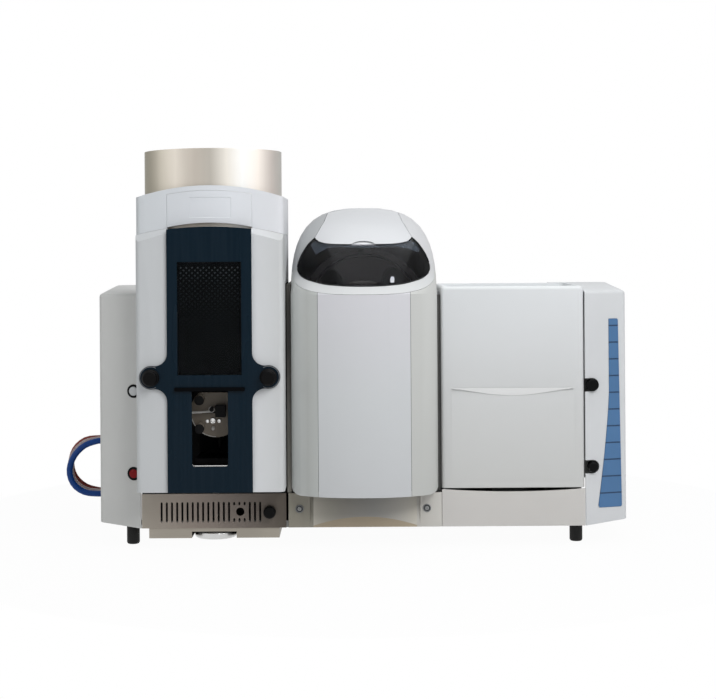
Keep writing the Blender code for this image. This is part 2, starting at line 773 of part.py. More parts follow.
def end_cover(name, side, look, root):
    """A moulded end cover, open to the chassis and at the bottom."""
    shape = bmesh.new()
    shape.from_mesh(box((0, 0, 0), (1, 1, 1)))
    inner = BODY_HALF + COVER_GAP
    for vert in shape.verts:
        outer, rear, top = (c > 0.5 for c in vert.co)
        x = (COVER_REAR_HALF if rear else COVER_FRONT_HALF) if outer else inner
        y = BODY_DEPTH if rear else (COVER_SWEEP if outer else 0)
        z = BODY_TOP if top else FOOT_HEIGHT + (COVER_BOTTOM_RISE if outer else 0)
        vert.co = (x, y, z)
    middle = FOOT_HEIGHT + BODY_TOP / 2

    def outside(vert):
        return vert.co.x > inner + SEAM

    rear_edge = [e for e in shape.edges if all(outside(v) and v.co.y > BODY_DEPTH / 2 for v in e.verts)]
    bmesh.ops.bevel(shape, geom=rear_edge, offset=COVER_REAR_ROUND, segments=5, profile=0.5, affect="EDGES")
    shape.normal_update()
    rims = [e for e in shape.edges
            if (all(v.co.z > middle for v in e.verts) and any(outside(v) for v in e.verts)
                and e.calc_face_angle(0) > 1)
            or (all(outside(v) and v.co.y < BODY_DEPTH / 2 for v in e.verts) and e.calc_face_angle(0) > 1)]
    bmesh.ops.bevel(shape, geom=rims, offset=COVER_ROUND, segments=3, profile=0.5, affect="EDGES")
    shape.normal_update()
    open_faces = [f for f in shape.faces if f.normal.x < -0.9 or f.normal.z < -0.9]
    bmesh.ops.delete(shape, geom=open_faces, context="FACES")
    if side < 0:
        bmesh.ops.scale(shape, vec=(-1, 1, 1), verts=shape.verts)
        bmesh.ops.reverse_faces(shape, faces=shape.faces)
    mesh = bpy.data.meshes.new(name)
    shape.to_mesh(mesh)
    shape.free()
    cover = part(name, mesh, look, root)
    shell = cover.modifiers.new("Wall", "SOLIDIFY")
    shell.thickness = WALL
    shell.offset = -1
    shell.use_even_offset = True
    return cover


def build_covers(look, root):
    left = end_cover("left_end_cover", -1, look["housing"], root)
    right = end_cover("right_end_cover", 1, look["housing"], root)
    turn = face_turn(-1)
    for name, x, z, cap in (("power", POWER_X, POWER_Z, "cap"), ("stop", STOP_X, STOP_Z, "red")):
        at = face_point(-1, x, z)
        cut(left, cutter(rod(BEZEL_BARREL + 2 * SEAT, -OVERRUN, OVERRUN, "Y"), root, at, turn))
        bezel = turned([(BEZEL_RADIUS, -SEAT), (BEZEL_BARREL, -SEAT), (BEZEL_BARREL, BEZEL_DEPTH),
                        (BEZEL_BORE, BEZEL_DEPTH), (BEZEL_BORE, -BEZEL_LIP), (BEZEL_RADIUS - SHEET / 2, -BEZEL_LIP),
                        (BEZEL_RADIUS, -BEZEL_LIP / 2), (BEZEL_RADIUS, -SEAT)], "Y", 20)
        smooth(part(name + "_button_bezel", bezel, look["black"], root, at, turn))
        button = turned([(0, BUTTON_TAIL), (BUTTON_RADIUS, BUTTON_TAIL), (BUTTON_RADIUS, -BUTTON_PROUD * 0.6),
                         (BUTTON_RADIUS * 0.7, -BUTTON_PROUD * 0.92), (0, -BUTTON_PROUD)], "Y", 20)
        press = pivot(name + "_button_axis", root, at)
        smooth(part(name + "_button", button, look[cap], press, at, turn))
    build_adjusters(look, root, right)
    build_stripe(look, root, right)
    build_ports(look, root)


def build_adjusters(look, root, cover):
    """Two alignment knobs in notches of the right end cover, on the flange of the furnace box."""
    for name, z, radius in (("upper", ADJUST_HIGH_Z, ADJUST_HIGH_RADIUS), ("lower", ADJUST_LOW_Z, ADJUST_LOW_RADIUS)):
        slot = arc(ADJUST_X, z, NOTCH_RADIUS, -90, 90) + [(BODY_HALF - OVERRUN, z + NOTCH_RADIUS),
                                                          (BODY_HALF - OVERRUN, z - NOTCH_RADIUS)]
        cut(cover, cutter(outline(slot, -OVERRUN, OVERRUN, "Y"), root))
        axis = pivot(name + "_adjuster_axis", root, (ADJUST_X, ADJUST_FRONT, z))
        grip = ADJUST_LENGTH
        tail = ADJUST_PLATE_Y - ADJUST_FRONT + 2 * SHEET
        knob = turned([(0, tail), (ADJUST_SHAFT, tail), (ADJUST_SHAFT, grip), (radius, grip), (radius, SHEET),
                       (radius - SHEET, 0), (0, 0)], "Y", 24)
        smooth(part(name + "_adjuster_knob", knob, look["black"], axis, (ADJUST_X, ADJUST_FRONT, z)))


def build_stripe(look, root, cover):
    """The ribbed strip let into the swept face of the right end cover."""
    turn = face_turn(1)
    stretch = 1 / math.cos(turn)
    corner = SHEET

    def along(x):
        return (x - BODY_HALF) * stretch

    bend = [STRIPE_BEND_Z + (STRIPE_LOW + 2 * corner - STRIPE_BEND_Z) * i / ARC_STEPS for i in range(ARC_STEPS + 1)]
    shares = [i / ARC_STEPS for i in range(ARC_STEPS + 1)]
    inner = [(along(STRIPE_INNER_X + (STRIPE_LOW_INNER_X - STRIPE_INNER_X) * s ** 1.35), z)
             for s, z in zip(shares, bend)]
    points = ([(along(STRIPE_INNER_X), STRIPE_TOP)] + inner
              + [(along(STRIPE_LOW_INNER_X) + corner, STRIPE_LOW), (along(STRIPE_LOW_OUTER_X) - corner, STRIPE_LOW),
                 (along(STRIPE_LOW_OUTER_X), STRIPE_LOW + corner), (along(STRIPE_TOP_OUTER_X), STRIPE_TOP - corner),
                 (along(STRIPE_TOP_OUTER_X) - corner, STRIPE_TOP)])
    at = (BODY_HALF, 0, 0)
    seat = STRIPE_THICK / 2
    stripe = part("side_stripe", outline(points, seat - STRIPE_THICK, seat - SEAT, "Y"), look["blue"], root, at, turn)
    middle = (along(STRIPE_INNER_X) + along(STRIPE_TOP_OUTER_X)) / 2
    height = (STRIPE_TOP + STRIPE_LOW) / 2
    grow = SEAT / (along(STRIPE_TOP_OUTER_X) - along(STRIPE_INNER_X)) * 2
    wider = [(x + (x - middle) * grow, z + math.copysign(SEAT, z - height)) for x, z in points]
    cut(cover, cutter(outline(wider, -OVERRUN, seat, "Y"), root, at, turn))
    grooves = []
    for i in range(GROOVE_COUNT):
        z = GROOVE_FIRST_Z - i * GROOVE_PITCH
        share = (STRIPE_TOP - z) / (STRIPE_TOP - STRIPE_LOW)
        outer = STRIPE_TOP_OUTER_X + (STRIPE_LOW_OUTER_X - STRIPE_TOP_OUTER_X) * share
        grooves.append(box((0, -OVERRUN, z - GROOVE_HEIGHT / 2),
                           (along(outer) - GROOVE_STOP, seat - STRIPE_THICK + GROOVE_DEPTH, z + GROOVE_HEIGHT / 2)))
    cut(stripe, cutter(merged(*grooves), root, at, turn))


def side_turn():
    """How far the flared side of an end cover is turned from the Y axis."""
    return math.atan2(COVER_REAR_HALF - COVER_FRONT_HALF, BODY_DEPTH - COVER_SWEEP)


def smooth_curve(before, points, after, step):
    """Points at an even step along a Catmull-Rom curve that runs on from one point to another."""
    ends = [before] + points + [after]
    fine = []
    for a, b, c, d in zip(ends, ends[1:], ends[2:], ends[3:]):
        for i in range(24):
            t = i / 24
            fine.append(0.5 * (2 * b + (c - a) * t + (2 * a - 5 * b + 4 * c - d) * t ** 2
                               + (3 * b - a - 3 * c + d) * t ** 3))
    fine.append(points[-1])
    lengths = [0.0]
    for a, b in zip(fine, fine[1:]):
        lengths.append(lengths[-1] + (b - a).length)
    count = max(2, round(lengths[-1] / step))
    even = []
    for i in range(count + 1):
        goal = lengths[-1] * i / count
        j = max(k for k, length in enumerate(lengths) if length <= goal + 1e-12)
        j = min(j, len(fine) - 2)
        span = lengths[j + 1] - lengths[j]
        even.append(fine[j].lerp(fine[j + 1], (goal - lengths[j]) / span if span else 0))
    return even


HOSE_ROUTE = ((0, 0.1620), (-0.0270, 0.1555), (-0.0480, 0.1350), (-0.0560, 0.1060), (-0.0480, 0.0790),
              (-0.0270, 0.0625), (0, 0.0585))


def build_ports(look, root):
    """The hose plate on the flared left side, and the three hoses that loop between its fittings."""
    slope = (COVER_REAR_HALF - COVER_FRONT_HALF) / (BODY_DEPTH - COVER_SWEEP)
    turn = side_turn()
    surface = (-COVER_FRONT_HALF - slope * (PORT_Y - COVER_SWEEP), PORT_Y, 0)
    plate = part("hose_port_plate", box((-SEAT - PANEL, -PORT_HALF, PORT_LOW), (-SEAT, PORT_HALF, PORT_HIGH)),
                 look["chassis"], root, surface, turn)
    face = -SEAT - PANEL - PORT_BOSS_LENGTH
    for row in (-1, 0, 1):
        for z in (PORT_UP_Z, PORT_DOWN_Z):
            boss = rod(PORT_BOSS_RADIUS, face, -SEAT - PANEL / 2, "X", (row * PORT_SPACING, z), 12)
            fuse(plate, cutter(boss, root, surface, turn))
    colours = ("hose_blue", "hose_clear", "hose_red")
    start = face - SEAT
    for row, name in zip((-1, 0, 1), colours):
        y = row * PORT_SPACING
        reach = start - HOSE_STRAIGHT
        bend = [Vector((x + reach, y, z)) for x, z in HOSE_ROUTE]
        first, last = Vector((start, y, PORT_UP_Z)), Vector((start, y, PORT_DOWN_Z))
        route = [first] + smooth_curve(first, bend, last, HOSE_STEP) + [last]
        curve = bpy.data.curves.new(name, "CURVE")
        curve.dimensions = "3D"
        curve.bevel_depth = HOSE_RADIUS
        curve.bevel_resolution = 2
        curve.use_fill_caps = True
        line = curve.splines.new("POLY")
        line.points.add(len(route) - 1)
        for point, co in zip(line.points, route):
            point.co = (*co, 1)
        obj = bpy.data.objects.new(name, curve)
        PARTS.objects.link(obj)
        curve.materials.append(look[name])
        place(obj, root, surface, turn)


# ---- flame bay

BOX_FRONT = TRAY_FRONT + SHEET + SEAT
FLAME_BOX_HALF = FLAME_HALF - SEAM
FLAME_BOX_TOP = BAND_TOP_SIDE - SEAT
FURNACE_BOX_HALF = FURNACE_HALF - WALL - SHEET
MODULE_FLOOR = TRAY_FLOOR + SEAT


def above_bow(half, side, middle, top, start, end, span=None, cx=FLAME_X):
    """Everything over a shallow arch."""
    edge = [(x + cx, z) for x, z in bowed_edge(half, side, middle, span=span)]
    span = half if span is None else span
    return outline([(cx - span, top), (cx + span, top)] + edge, start, end, "Y")


def build_flame_bay(look, root):
    wide = FLAME_HALF + OVERRUN
    half = FLAME_BOX_HALF
    floor = FOOT_HEIGHT + TRAY_HEIGHT + SEAT
    case = part("flame_box", box((-half, BOX_FRONT, floor), (half, CROWN_BACK, FLAME_BOX_TOP)),
                look["lower"], root, (FLAME_X, 0, 0))
    cut(case, cutter(box((-half + WALL, BOX_FRONT - OVERRUN, floor + WALL),
                         (half - WALL, CROWN_BACK - WALL, FLAME_BOX_TOP - WALL)), root, (FLAME_X, 0, 0)))
    cut(case, cutter(rod(SCREW_RADIUS + SCREW_CLEARANCE, 0, floor + TRAY_HEIGHT, "Z", (0, WHEEL_Y)), root,
                     (FLAME_X, 0, 0)))
    duct = oval(CHIMNEY_HALF - CHIMNEY_REST, CHIMNEY_DEPTH_HALF - CHIMNEY_REST)
    cut(case, cutter(outline(duct, FLAME_BOX_TOP - OVERRUN, FLAME_BOX_TOP + OVERRUN), root, (FLAME_X, CHIMNEY_Y, 0)))

    chimney = part("chimney", outline(oval(CHIMNEY_HALF, CHIMNEY_DEPTH_HALF), FLAME_BOX_TOP + SEAT, CHIMNEY_TOP),
                   look["champagne"], root, (FLAME_X, CHIMNEY_Y, 0))
    bore = oval(CHIMNEY_HALF - SHEET, CHIMNEY_DEPTH_HALF - SHEET)
    cut(chimney, cutter(outline(bore, FLAME_BOX_TOP - OVERRUN, CHIMNEY_TOP + OVERRUN), root, (FLAME_X, CHIMNEY_Y, 0)))
    cut(chimney, cutter(above_bow(CHIMNEY_HALF, CHIMNEY_TOP - CHIMNEY_TOP_DROP, CHIMNEY_TOP, CHIMNEY_TOP + OVERRUN,
                                  -CHIMNEY_Y - OVERRUN * 4, CROWN_BACK, wide), root))
    smooth(chimney)
    build_frame(look, root, wide)
    build_crown(look, root, wide)
    build_vent(look, root)
    build_burner(look, root)
    build_sash(look, root)


def oval(half_x, half_y, power=2.6, steps=36):
    """A squared-off oval."""
    points = []
    for i in range(steps):
        a = 2 * math.pi * i / steps
        c, s = math.cos(a), math.sin(a)
        points.append((half_x * math.copysign(abs(c) ** (2 / power), c),
                       half_y * math.copysign(abs(s) ** (2 / power), s)))
    return points


def frame_block(inset, root):
    """The front moulding's block, its top edge sloped back along an arch."""
    half = FLAME_HALF - inset
    front = -FRAME_REACH + inset
    top = BAND_TOP_MID + OVERRUN
    low = FRAME_BOTTOM - (OVERRUN if inset else 0)
    back = TRAY_FRONT + (OVERRUN if inset else SHEET - SEAT)
    block = round_box((-half, front, low), (half, back, top), FRAME_ROUND - inset,
                      lambda a, b: upright(a, b) and a.y < 0)
    rings = []
    stations = 12
    reach = FLAME_HALF + OVERRUN / 4
    sink = inset * 0.4
    for i in range(stations + 1):
        x = -reach + 2 * reach * i / stations
        low_z = bow(x, FLAME_HALF, BAND_LOW_SIDE, BAND_LOW_MID) - sink
        high_z = bow(x, FLAME_HALF, BAND_TOP_SIDE - SEAT, BAND_TOP_MID - SEAT) - sink
        far = -FRAME_REACH - OVERRUN
        rings.append([(x, far, low_z), (x, front, low_z), (x, front + BAND_SETBACK, high_z),
                      (x, front + BAND_SETBACK, top + OVERRUN), (x, far, top + OVERRUN)])
    return block, loft(rings)


def build_frame(look, root, wide):
    at = (FLAME_X, 0, 0)
    outer, slope = frame_block(0, root)
    frame = part("flame_front_frame", outer, look["housing"], root, at)
    cut(frame, cutter(slope, root, at))
    cut(frame, cutter(above_bow(FLAME_HALF, BAND_TOP_SIDE - SEAT, BAND_TOP_MID - SEAT, BAND_TOP_MID + 2 * OVERRUN,
                                -FRAME_REACH - OVERRUN, OVERRUN, wide), root))
    inner, inner_slope = frame_block(WALL, root)
    hollow = cutter(inner, root, at)
    cut(hollow, cutter(inner_slope, root, at))
    cut(frame, hollow)
    window = SASH_HALF - SEAM
    cut(frame, cutter(box((-window, -FRAME_REACH - OVERRUN, SILL_TOP),
                          (window, -FRAME_REACH + BAND_SETBACK + 2 * WALL, BAND_TOP_MID + OVERRUN)), root, at))


def build_crown(look, root, wide):
    at = (FLAME_X, 0, 0)
    front = -FRAME_REACH + BAND_SETBACK
    low = BAND_LOW_SIDE
    crown = part("chimney_crown", round_box((-FLAME_HALF, front, low), (FLAME_HALF, CROWN_BACK, CROWN_TOP_MID),
                                            FRAME_ROUND, upright), look["housing"], root, at)
    inner = FLAME_HALF - CROWN_WALL
    cut(crown, cutter(round_box((-inner, front + CROWN_WALL, low - OVERRUN),
                                (inner, CROWN_BACK - CROWN_WALL, CROWN_TOP_MID + OVERRUN),
                                FRAME_ROUND - CROWN_WALL, upright), root, at))
    cut(crown, cutter(above_bow(FLAME_HALF, CROWN_TOP_SIDE, CROWN_TOP_MID, CROWN_TOP_MID + OVERRUN,
                                front - OVERRUN, CROWN_BACK + OVERRUN, wide), root))
    under = [(x + FLAME_X, z) for x, z in bowed_edge(FLAME_HALF, BAND_TOP_SIDE, BAND_TOP_MID, span=wide)]
    bottom = BAND_LOW_SIDE - OVERRUN
    cut(crown, cutter(outline([(FLAME_X - wide, bottom), (FLAME_X + wide, bottom)] + under, front - OVERRUN,
                              TRAY_FRONT + SHEET, "Y"), root))
    cut(crown, cutter(box((-wide, -OVERRUN / 4, bottom), (wide, CROWN_BACK + OVERRUN, BAND_TOP_SIDE)), root, at))
    for gap, start, end in ((0, front - OVERRUN, front + CROWN_WALL + SHEET), (SEAM / 2, front, front + CROWN_WALL)):
        half = FASCIA_HALF - gap
        top = [(x + FLAME_X, z - gap) for x, z in bowed_edge(half, FASCIA_TOP_SIDE, FASCIA_TOP_MID)]
        base = BAND_LOW_SIDE
        if gap:
            lower = [(x + FLAME_X, z) for x, z in bowed_edge(half, FASCIA_LOW_SIDE, FASCIA_LOW_MID)][::-1]
            fascia = part("crown_fascia", outline(top + lower, start, end, "Y"), look["housing"], root)
        else:
            cut(crown, cutter(outline(top + [(FLAME_X - half, base), (FLAME_X + half, base)], start, end, "Y"), root))
    label_x = FLAME_X + SHEET * 0.6
    cut(fascia, cutter(outline(rounded(LABEL_HALF, LABEL_LOW, LABEL_HIGH, SHEET, label_x), front - OVERRUN,
                               front + LABEL_DEPTH, "Y"), root))


def build_vent(look, root):
    left = -BODY_HALF + SEAM
    right = TOWER_X - KICK_HALF - 2 * PANEL / 3 - SHEET
    plate = part("vent_plate", box((left, 0, FOOT_HEIGHT), (right, PANEL, PANEL_TOP)), look["stainless"], root)
    slots = []
    for i in range(SLOT_COUNT):
        x = SLOT_FIRST_X + i * SLOT_PITCH
        spans = [(SLOT_LOW, SLOT_HIGH)]
        if abs(x - VENT_HOLE_X) < VENT_HOLE_RADIUS + SLOT_PITCH / 2:
            clear = VENT_HOLE_RADIUS + SLOT_WIDTH
            spans = [(SLOT_LOW, VENT_CONTROL_Z - clear), (VENT_CONTROL_Z + clear, SLOT_HIGH)]
        for low, high in spans:
            half = SLOT_WIDTH / 2
            points = arc(x, high - half, half, 0, 180, 2) + arc(x, low + half, half, 180, 360, 2)
            slots.append(outline(points, -OVERRUN, OVERRUN, "Y"))
    cut(plate, cutter(merged(*slots), root))
    cut(plate, cutter(rod(VENT_HOLE_RADIUS, -OVERRUN, OVERRUN, "Y", (VENT_HOLE_X, VENT_CONTROL_Z), 20), root))
    stem = KNOB_STEM
    cut(plate, cutter(rod(stem + SEAT, -OVERRUN, OVERRUN, "Y", (VENT_KNOB_X, VENT_CONTROL_Z), 16), root))
    axis = pivot("burner_turn_axis", root, (VENT_KNOB_X, 0, VENT_CONTROL_Z))
    reach = VENT_KNOB_HEIGHT
    knob = turned([(0, PANEL), (stem, PANEL), (stem, -SEAT), (VENT_KNOB_RADIUS, -SEAT),
                   (VENT_KNOB_RADIUS, -reach + SHEET), (VENT_KNOB_RADIUS - SHEET, -reach), (0, -reach)], "Y", 24)
    smooth(part("burner_turn_knob", knob, look["black"], axis, (VENT_KNOB_X, 0, VENT_CONTROL_Z)))

    at = (FLAME_X, 0, 0)
    top = FOOT_HEIGHT - SEAT
    pan = part("under_pan", box((-PAN_HALF, TRAY_FRONT, PAN_LOW), (PAN_HALF, PAN_BACK, top)), look["stainless"],
               root, at)
    cut(pan, cutter(box((-PAN_HALF + SHEET, TRAY_FRONT + SHEET, PAN_LOW + SHEET),
                        (PAN_HALF - SHEET, PAN_BACK - SHEET, top + OVERRUN)), root, at))
    cut(pan, cutter(rod(WHEEL_RADIUS + SHEET, 0, WHEEL_HIGH + SHEET, "Z", (0, WHEEL_Y), 40), root, at))
    lift = pivot("burner_height_axis", root, (FLAME_X, WHEEL_Y, 0))
    rim = WHEEL_RADIUS
    wheel = turned([(0, SCREW_TOP), (SCREW_RADIUS, SCREW_TOP), (SCREW_RADIUS, WHEEL_HIGH), (rim - WHEEL_ROUND, WHEEL_HIGH),
                    (rim, WHEEL_HIGH - WHEEL_ROUND), (rim, WHEEL_LOW + WHEEL_ROUND), (rim - WHEEL_ROUND, WHEEL_LOW),
                    (0, WHEEL_LOW)], sides=40)
    smooth(part("burner_height_wheel", wheel, look["silver"], lift, (FLAME_X, WHEEL_Y, 0)))


def build_burner(look, root):
    """The burner, its spray chamber and the nebuliser, on a carriage that the height wheel lifts."""
    lift = pivot("burner_carriage_axis", root, (FLAME_X, WHEEL_Y, CARRIAGE_LOW))
    x = BURNER_X
    low, plate = CARRIAGE_LOW, CARRIAGE_PLATE
    shelf = box((x - CARRIAGE_HALF, CARRIAGE_FRONT, low), (x + CARRIAGE_HALF, CARRIAGE_BACK, low + plate))
    at = (0, 0, 0)
    carriage = part("burner_carriage", shelf, look["chassis"], lift, at)
    back = CARRIAGE_BACK - plate
    fuse(carriage, cutter(box((x - CARRIAGE_HALF, back, low + plate / 2), (x + CARRIAGE_HALF, CARRIAGE_BACK, CARRIAGE_TOP)),
                          lift, at))
    fuse(carriage, cutter(rod(BOSS_RADIUS, BOSS_LOW, low + plate / 2, "Z", (FLAME_X, WHEEL_Y)), lift, at))
    cut(carriage, cutter(rod(SCREW_RADIUS + SCREW_CLEARANCE, BOSS_LOW - OVERRUN, low + plate + OVERRUN, "Z",
                             (FLAME_X, WHEEL_Y)), lift, at))

    end = CHAMBER_FRONT
    chamber = part("spray_chamber", rod(CHAMBER_RADIUS, end, back - SEAT, "Y", (x, CHAMBER_Z)), look["burner"], lift, at)
    fuse(chamber, cutter(rod(NECK_RADIUS, CHAMBER_Z, NECK_TOP, "Z", (x, NECK_Y), 24), lift, at))
    drain_y = (end + back) * 0.66
    fuse(chamber, cutter(rod(DRAIN_RADIUS, DRAIN_LOW, CHAMBER_Z, "Z", (x, drain_y), 16), lift, at))

    face = end - SEAT - END_PLATE_THICK
    disc = part("chamber_end_plate", rod(END_PLATE_RADIUS, face, end - SEAT, "Y", (x, CHAMBER_Z), 40),
                look["chamber"], lift, at)
    cut(disc, cutter(box((x - 2 * END_PLATE_RADIUS, face - OVERRUN, END_PLATE_FLAT_Z),
                         (x + 2 * END_PLATE_RADIUS, end + OVERRUN, END_PLATE_FLAT_Z + END_PLATE_RADIUS)), lift, at))
    for across in (-1, 1):
        for up in (-1, 1):
            spot = (x + across * THUMB_X, CHAMBER_Z + up * THUMB_Z - SHEET / 2)
            fuse(disc, cutter(rod(THUMB_RADIUS, face - THUMB_LENGTH, face + SHEET, "Y", spot, 16), lift, at))

    front = face - SEAT - NEB_BLOCK_LENGTH
    half, tall = NEB_BLOCK_HALF, NEB_BLOCK_HEIGHT / 2
    block = box((NEB_X - half, front, NEB_Z - tall), (NEB_X + half, face - SEAT, NEB_Z + tall))
    nebuliser = part("nebuliser", block, look["black"], lift, at)
    middle = front + NEB_BLOCK_LENGTH / 2
    fuse(nebuliser, cutter(rod(NEB_PIPE_RADIUS, NEB_NUT_X, NEB_X, "X", (middle, CHAMBER_Z), 10), lift, at))
    fuse(nebuliser, cutter(rod(NEB_NUT_RADIUS, NEB_NUT_X - NEB_NUT_LENGTH, NEB_NUT_X + SHEET / 2, "X",
                               (middle, CHAMBER_Z), 6), lift, at))

    half, deep, thin = HEAD_HALF, HEAD_DEPTH / 2, HEAD_TOP_DEPTH / 2
    shoulder = (HEAD_LOW + HEAD_HIGH) / 2
    section = [(-deep, HEAD_LOW), (deep, HEAD_LOW), (deep, shoulder), (thin, HEAD_HIGH), (-thin, HEAD_HIGH),
               (-deep, shoulder)]
    bar = outline([(NECK_Y + y, z) for y, z in section], x - half, x + half, "X")
    head = part("burner_head", bar, look["burner"], lift, at)
    slot = FLAME_SLOT_LENGTH / 2
    cut(head, cutter(box((x - slot, NECK_Y - FLAME_SLOT_WIDTH / 2, HEAD_HIGH - FLAME_SLOT_DEPTH),
                         (x + slot, NECK_Y + FLAME_SLOT_WIDTH / 2, HEAD_HIGH + OVERRUN)), lift, at))


def sash_outline():
    """Half of the sash, from the middle of its bottom edge up its right side, then mirrored."""
    lean = EAR_X - SASH_HALF - EAR_FILLET
    rise = math.sqrt((EAR_FILLET + EAR_RADIUS) ** 2 - lean ** 2)
    toward = math.degrees(math.atan2(rise, lean))
    fillet_x = SASH_HALF + EAR_FILLET
    right = [(SASH_HALF, FRAME_BOTTOM)]
    right += arc(fillet_x, EAR_Z - rise, EAR_FILLET, 180, toward)
    right += arc(EAR_X, EAR_Z, EAR_RADIUS, toward - 180, 180 - toward, 2 * ARC_STEPS)[1:-1]
    right += arc(fillet_x, EAR_Z + rise, EAR_FILLET, -toward, -180)
    crest = [(x, bow(x, SASH_HALF, SASH_TOP_SIDE, SASH_TOP_MID))
             for x in [SASH_HALF - SASH_HALF * i / ARC_STEPS for i in range(ARC_STEPS + 1)]]
    right += crest
    return right + [(-x, z) for x, z in reversed(right) if x > 0]


def build_sash(look, root):
    """The smoked sash that slides up in front of the crown, with its pane, screen and latch knobs."""
    back = -FRAME_REACH - SEAT
    front = back - SASH_THICK
    at = (FLAME_X, front, FRAME_BOTTOM)
    lift = pivot("sash_axis", root, at)
    at = (FLAME_X, 0, 0)
    sash = part("flame_sash", outline(sash_outline(), front, back, "Y"), look["navy"], lift, at)
    far, near = front - OVERRUN, back + OVERRUN
    cut(sash, cutter(box((-PANE_HALF, far, PANE_LOW), (PANE_HALF, near, PANE_HIGH)), lift, at))
    corner = LEDGE_REACH
    notch = (arc(CUTOUT_HALF - corner, CUTOUT_LOW + corner, corner, -90, 0, 4)
             + [(CUTOUT_HALF, CUTOUT_HIGH), (-CUTOUT_HALF, CUTOUT_HIGH)]
             + arc(-CUTOUT_HALF + corner, CUTOUT_LOW + corner, corner, 180, 270, 4))
    cut(sash, cutter(outline(notch, far, near, "Y"), lift, at))
    ledge = box((-LEDGE_HALF, front - LEDGE_REACH, CUTOUT_HIGH), (LEDGE_HALF, front + SHEET, CUTOUT_HIGH + LEDGE_HEIGHT))
    fuse(sash, cutter(ledge, lift, at))
    inside = SASH_HALF - SEAM - RUNNER_WIDTH - SEAM
    for side in (-1, 1):
        ends = sorted((side * inside, side * (inside + RUNNER_WIDTH)))
        runner = box((ends[0], back - SHEET, SILL_TOP + SHEET), (ends[1], back + RUNNER_DEPTH, BAND_LOW_SIDE))
        fuse(sash, cutter(runner, lift, at))
        cut(sash, cutter(rod(KNOB_BORE, far, near, "Y", (side * EAR_X, EAR_Z), 16), lift, at))
    gap = SEAT
    pane = box((-PANE_HALF + gap, front + SHEET / 2, PANE_LOW + gap),
               (PANE_HALF - gap, front + SHEET / 2 + PANE_THICK, PANE_HIGH - gap))
    part("sash_window", pane, look["smoked"], lift, at)
    lap = WALL
    screen = box((-PANE_HALF - lap, back + SEAT, PANE_LOW - lap), (PANE_HALF + lap, back + SHEET, PANE_HIGH + lap))
    part("sash_screen", screen, look["mesh"], lift, at)
    grip = KNOB_HEIGHT
    for name, side in (("left", -1), ("right", 1)):
        spot = (FLAME_X + side * EAR_X, front, EAR_Z)
        turn = pivot(name + "_latch_axis", lift, spot)
        knob = turned([(0, SASH_THICK), (KNOB_STEM, SASH_THICK), (KNOB_STEM, -SEAT), (KNOB_RADIUS, -SEAT),
                       (KNOB_RADIUS, -SHEET), (KNOB_RADIUS * 0.86, -2 * SHEET), (KNOB_RADIUS * 0.92, -grip + 2 * SHEET),
                       (KNOB_RADIUS * 0.72, -grip), (0, -grip)], "Y", 24)
        smooth(part(name + "_latch_knob", knob, look["black"], turn, spot))


# ---- lamp tower

DOME_U_SHARES = (0, 0.09, 0.20, 0.32, 0.44, 0.55, 0.66, 0.76, 0.85, 0.92, 0.97, 0.994)
DOME_RUN_SHARES = (0, 0.031, 0.062, 0.102, 0.150, 0.205, 0.275, 0.355, 0.455, 0.575, 0.720, 0.860)
DOME_POWER = 2.95


def tower_ring(height, share, run, inset):
    """One level of the tower's skin: a bowed front, straight sides and a flat back."""
    narrow = (1 - share ** DOME_POWER) ** (1 / DOME_POWER)
    half = (TOWER_HALF - inset) * narrow
    front = -TOWER_BULGE + inset + DOME_RUN * run
    back = TOWER_BACK - inset - DOME_BACK_DROP * (1 - (1 - share ** 4) ** 0.25)
    bulge = TOWER_BULGE * (1 + 0.5 * share) - inset / 2
    shoulder = min(front + bulge, back - bulge / 2)
    bulge = shoulder - front
    power = 2 + 0.3 * share
    steps = 18
    points = []
    for i in range(steps + 1):
        a = math.pi * i / steps
        c, s = math.cos(a), math.sin(a)
        points.append((-half * math.copysign(abs(c) ** (2 / power), c), shoulder - bulge * abs(s) ** (2 / power), height))
    corner = min(half / 3, TOWER_CORNER)
    points += [(x, y, height) for x, y in arc(half - corner, back - corner, corner, 0, 90, 3)]
    points += [(x, y, height) for x, y in arc(-half + corner, back - corner, corner, 90, 180, 3)]
    return points


def tower_skin(inset):
    low = PANEL_TOP + SEAM if inset == 0 else PANEL_TOP - OVERRUN
    rings = [tower_ring(low, 0, 0, inset)]
    for share, run in zip(DOME_U_SHARES, DOME_RUN_SHARES):
        rings.append(tower_ring(RIM_BASE + share * (DOME_RISE - inset), share, run, inset))
    return loft(rings)


def lid_sweep(gap):
    """The lid's outline swept about its hinge, so that its seams are circles round the hinge."""
    corner, edge = LID_CORNER_RADIUS, LID_EDGE_RADIUS - gap
    half = [(CAP_REAR_HALF - gap, gap), (CAP_CORNER_HALF - gap, CAP_CORNER_RADIUS),
            ((CAP_CORNER_HALF + LID_CORNER_HALF) / 2 + SHEET - gap, (CAP_CORNER_RADIUS + corner) / 2 - SHEET),
            (LID_CORNER_HALF - gap, corner)]
    steps = 10
    for i in range(1, steps + 1):
        a = math.pi / 2 * i / steps
        half.append(((LID_CORNER_HALF - gap) * math.cos(a) ** (2 / 2.9),
                     corner + (edge - corner) * math.sin(a) ** (2 / 2.9)))
    both = half + [(-x, r) for x, r in reversed(half[:-1])]
    rings = []
    last = 58 - math.degrees(gap / CAP_REAR_HALF)
    steps = 12
    for i in range(steps + 1):
        a = math.radians(-20 + (last + 20) * i / steps)
        rings.append([(x, -r * math.cos(a), -r * math.sin(a)) for x, r in both])
    return loft(rings)


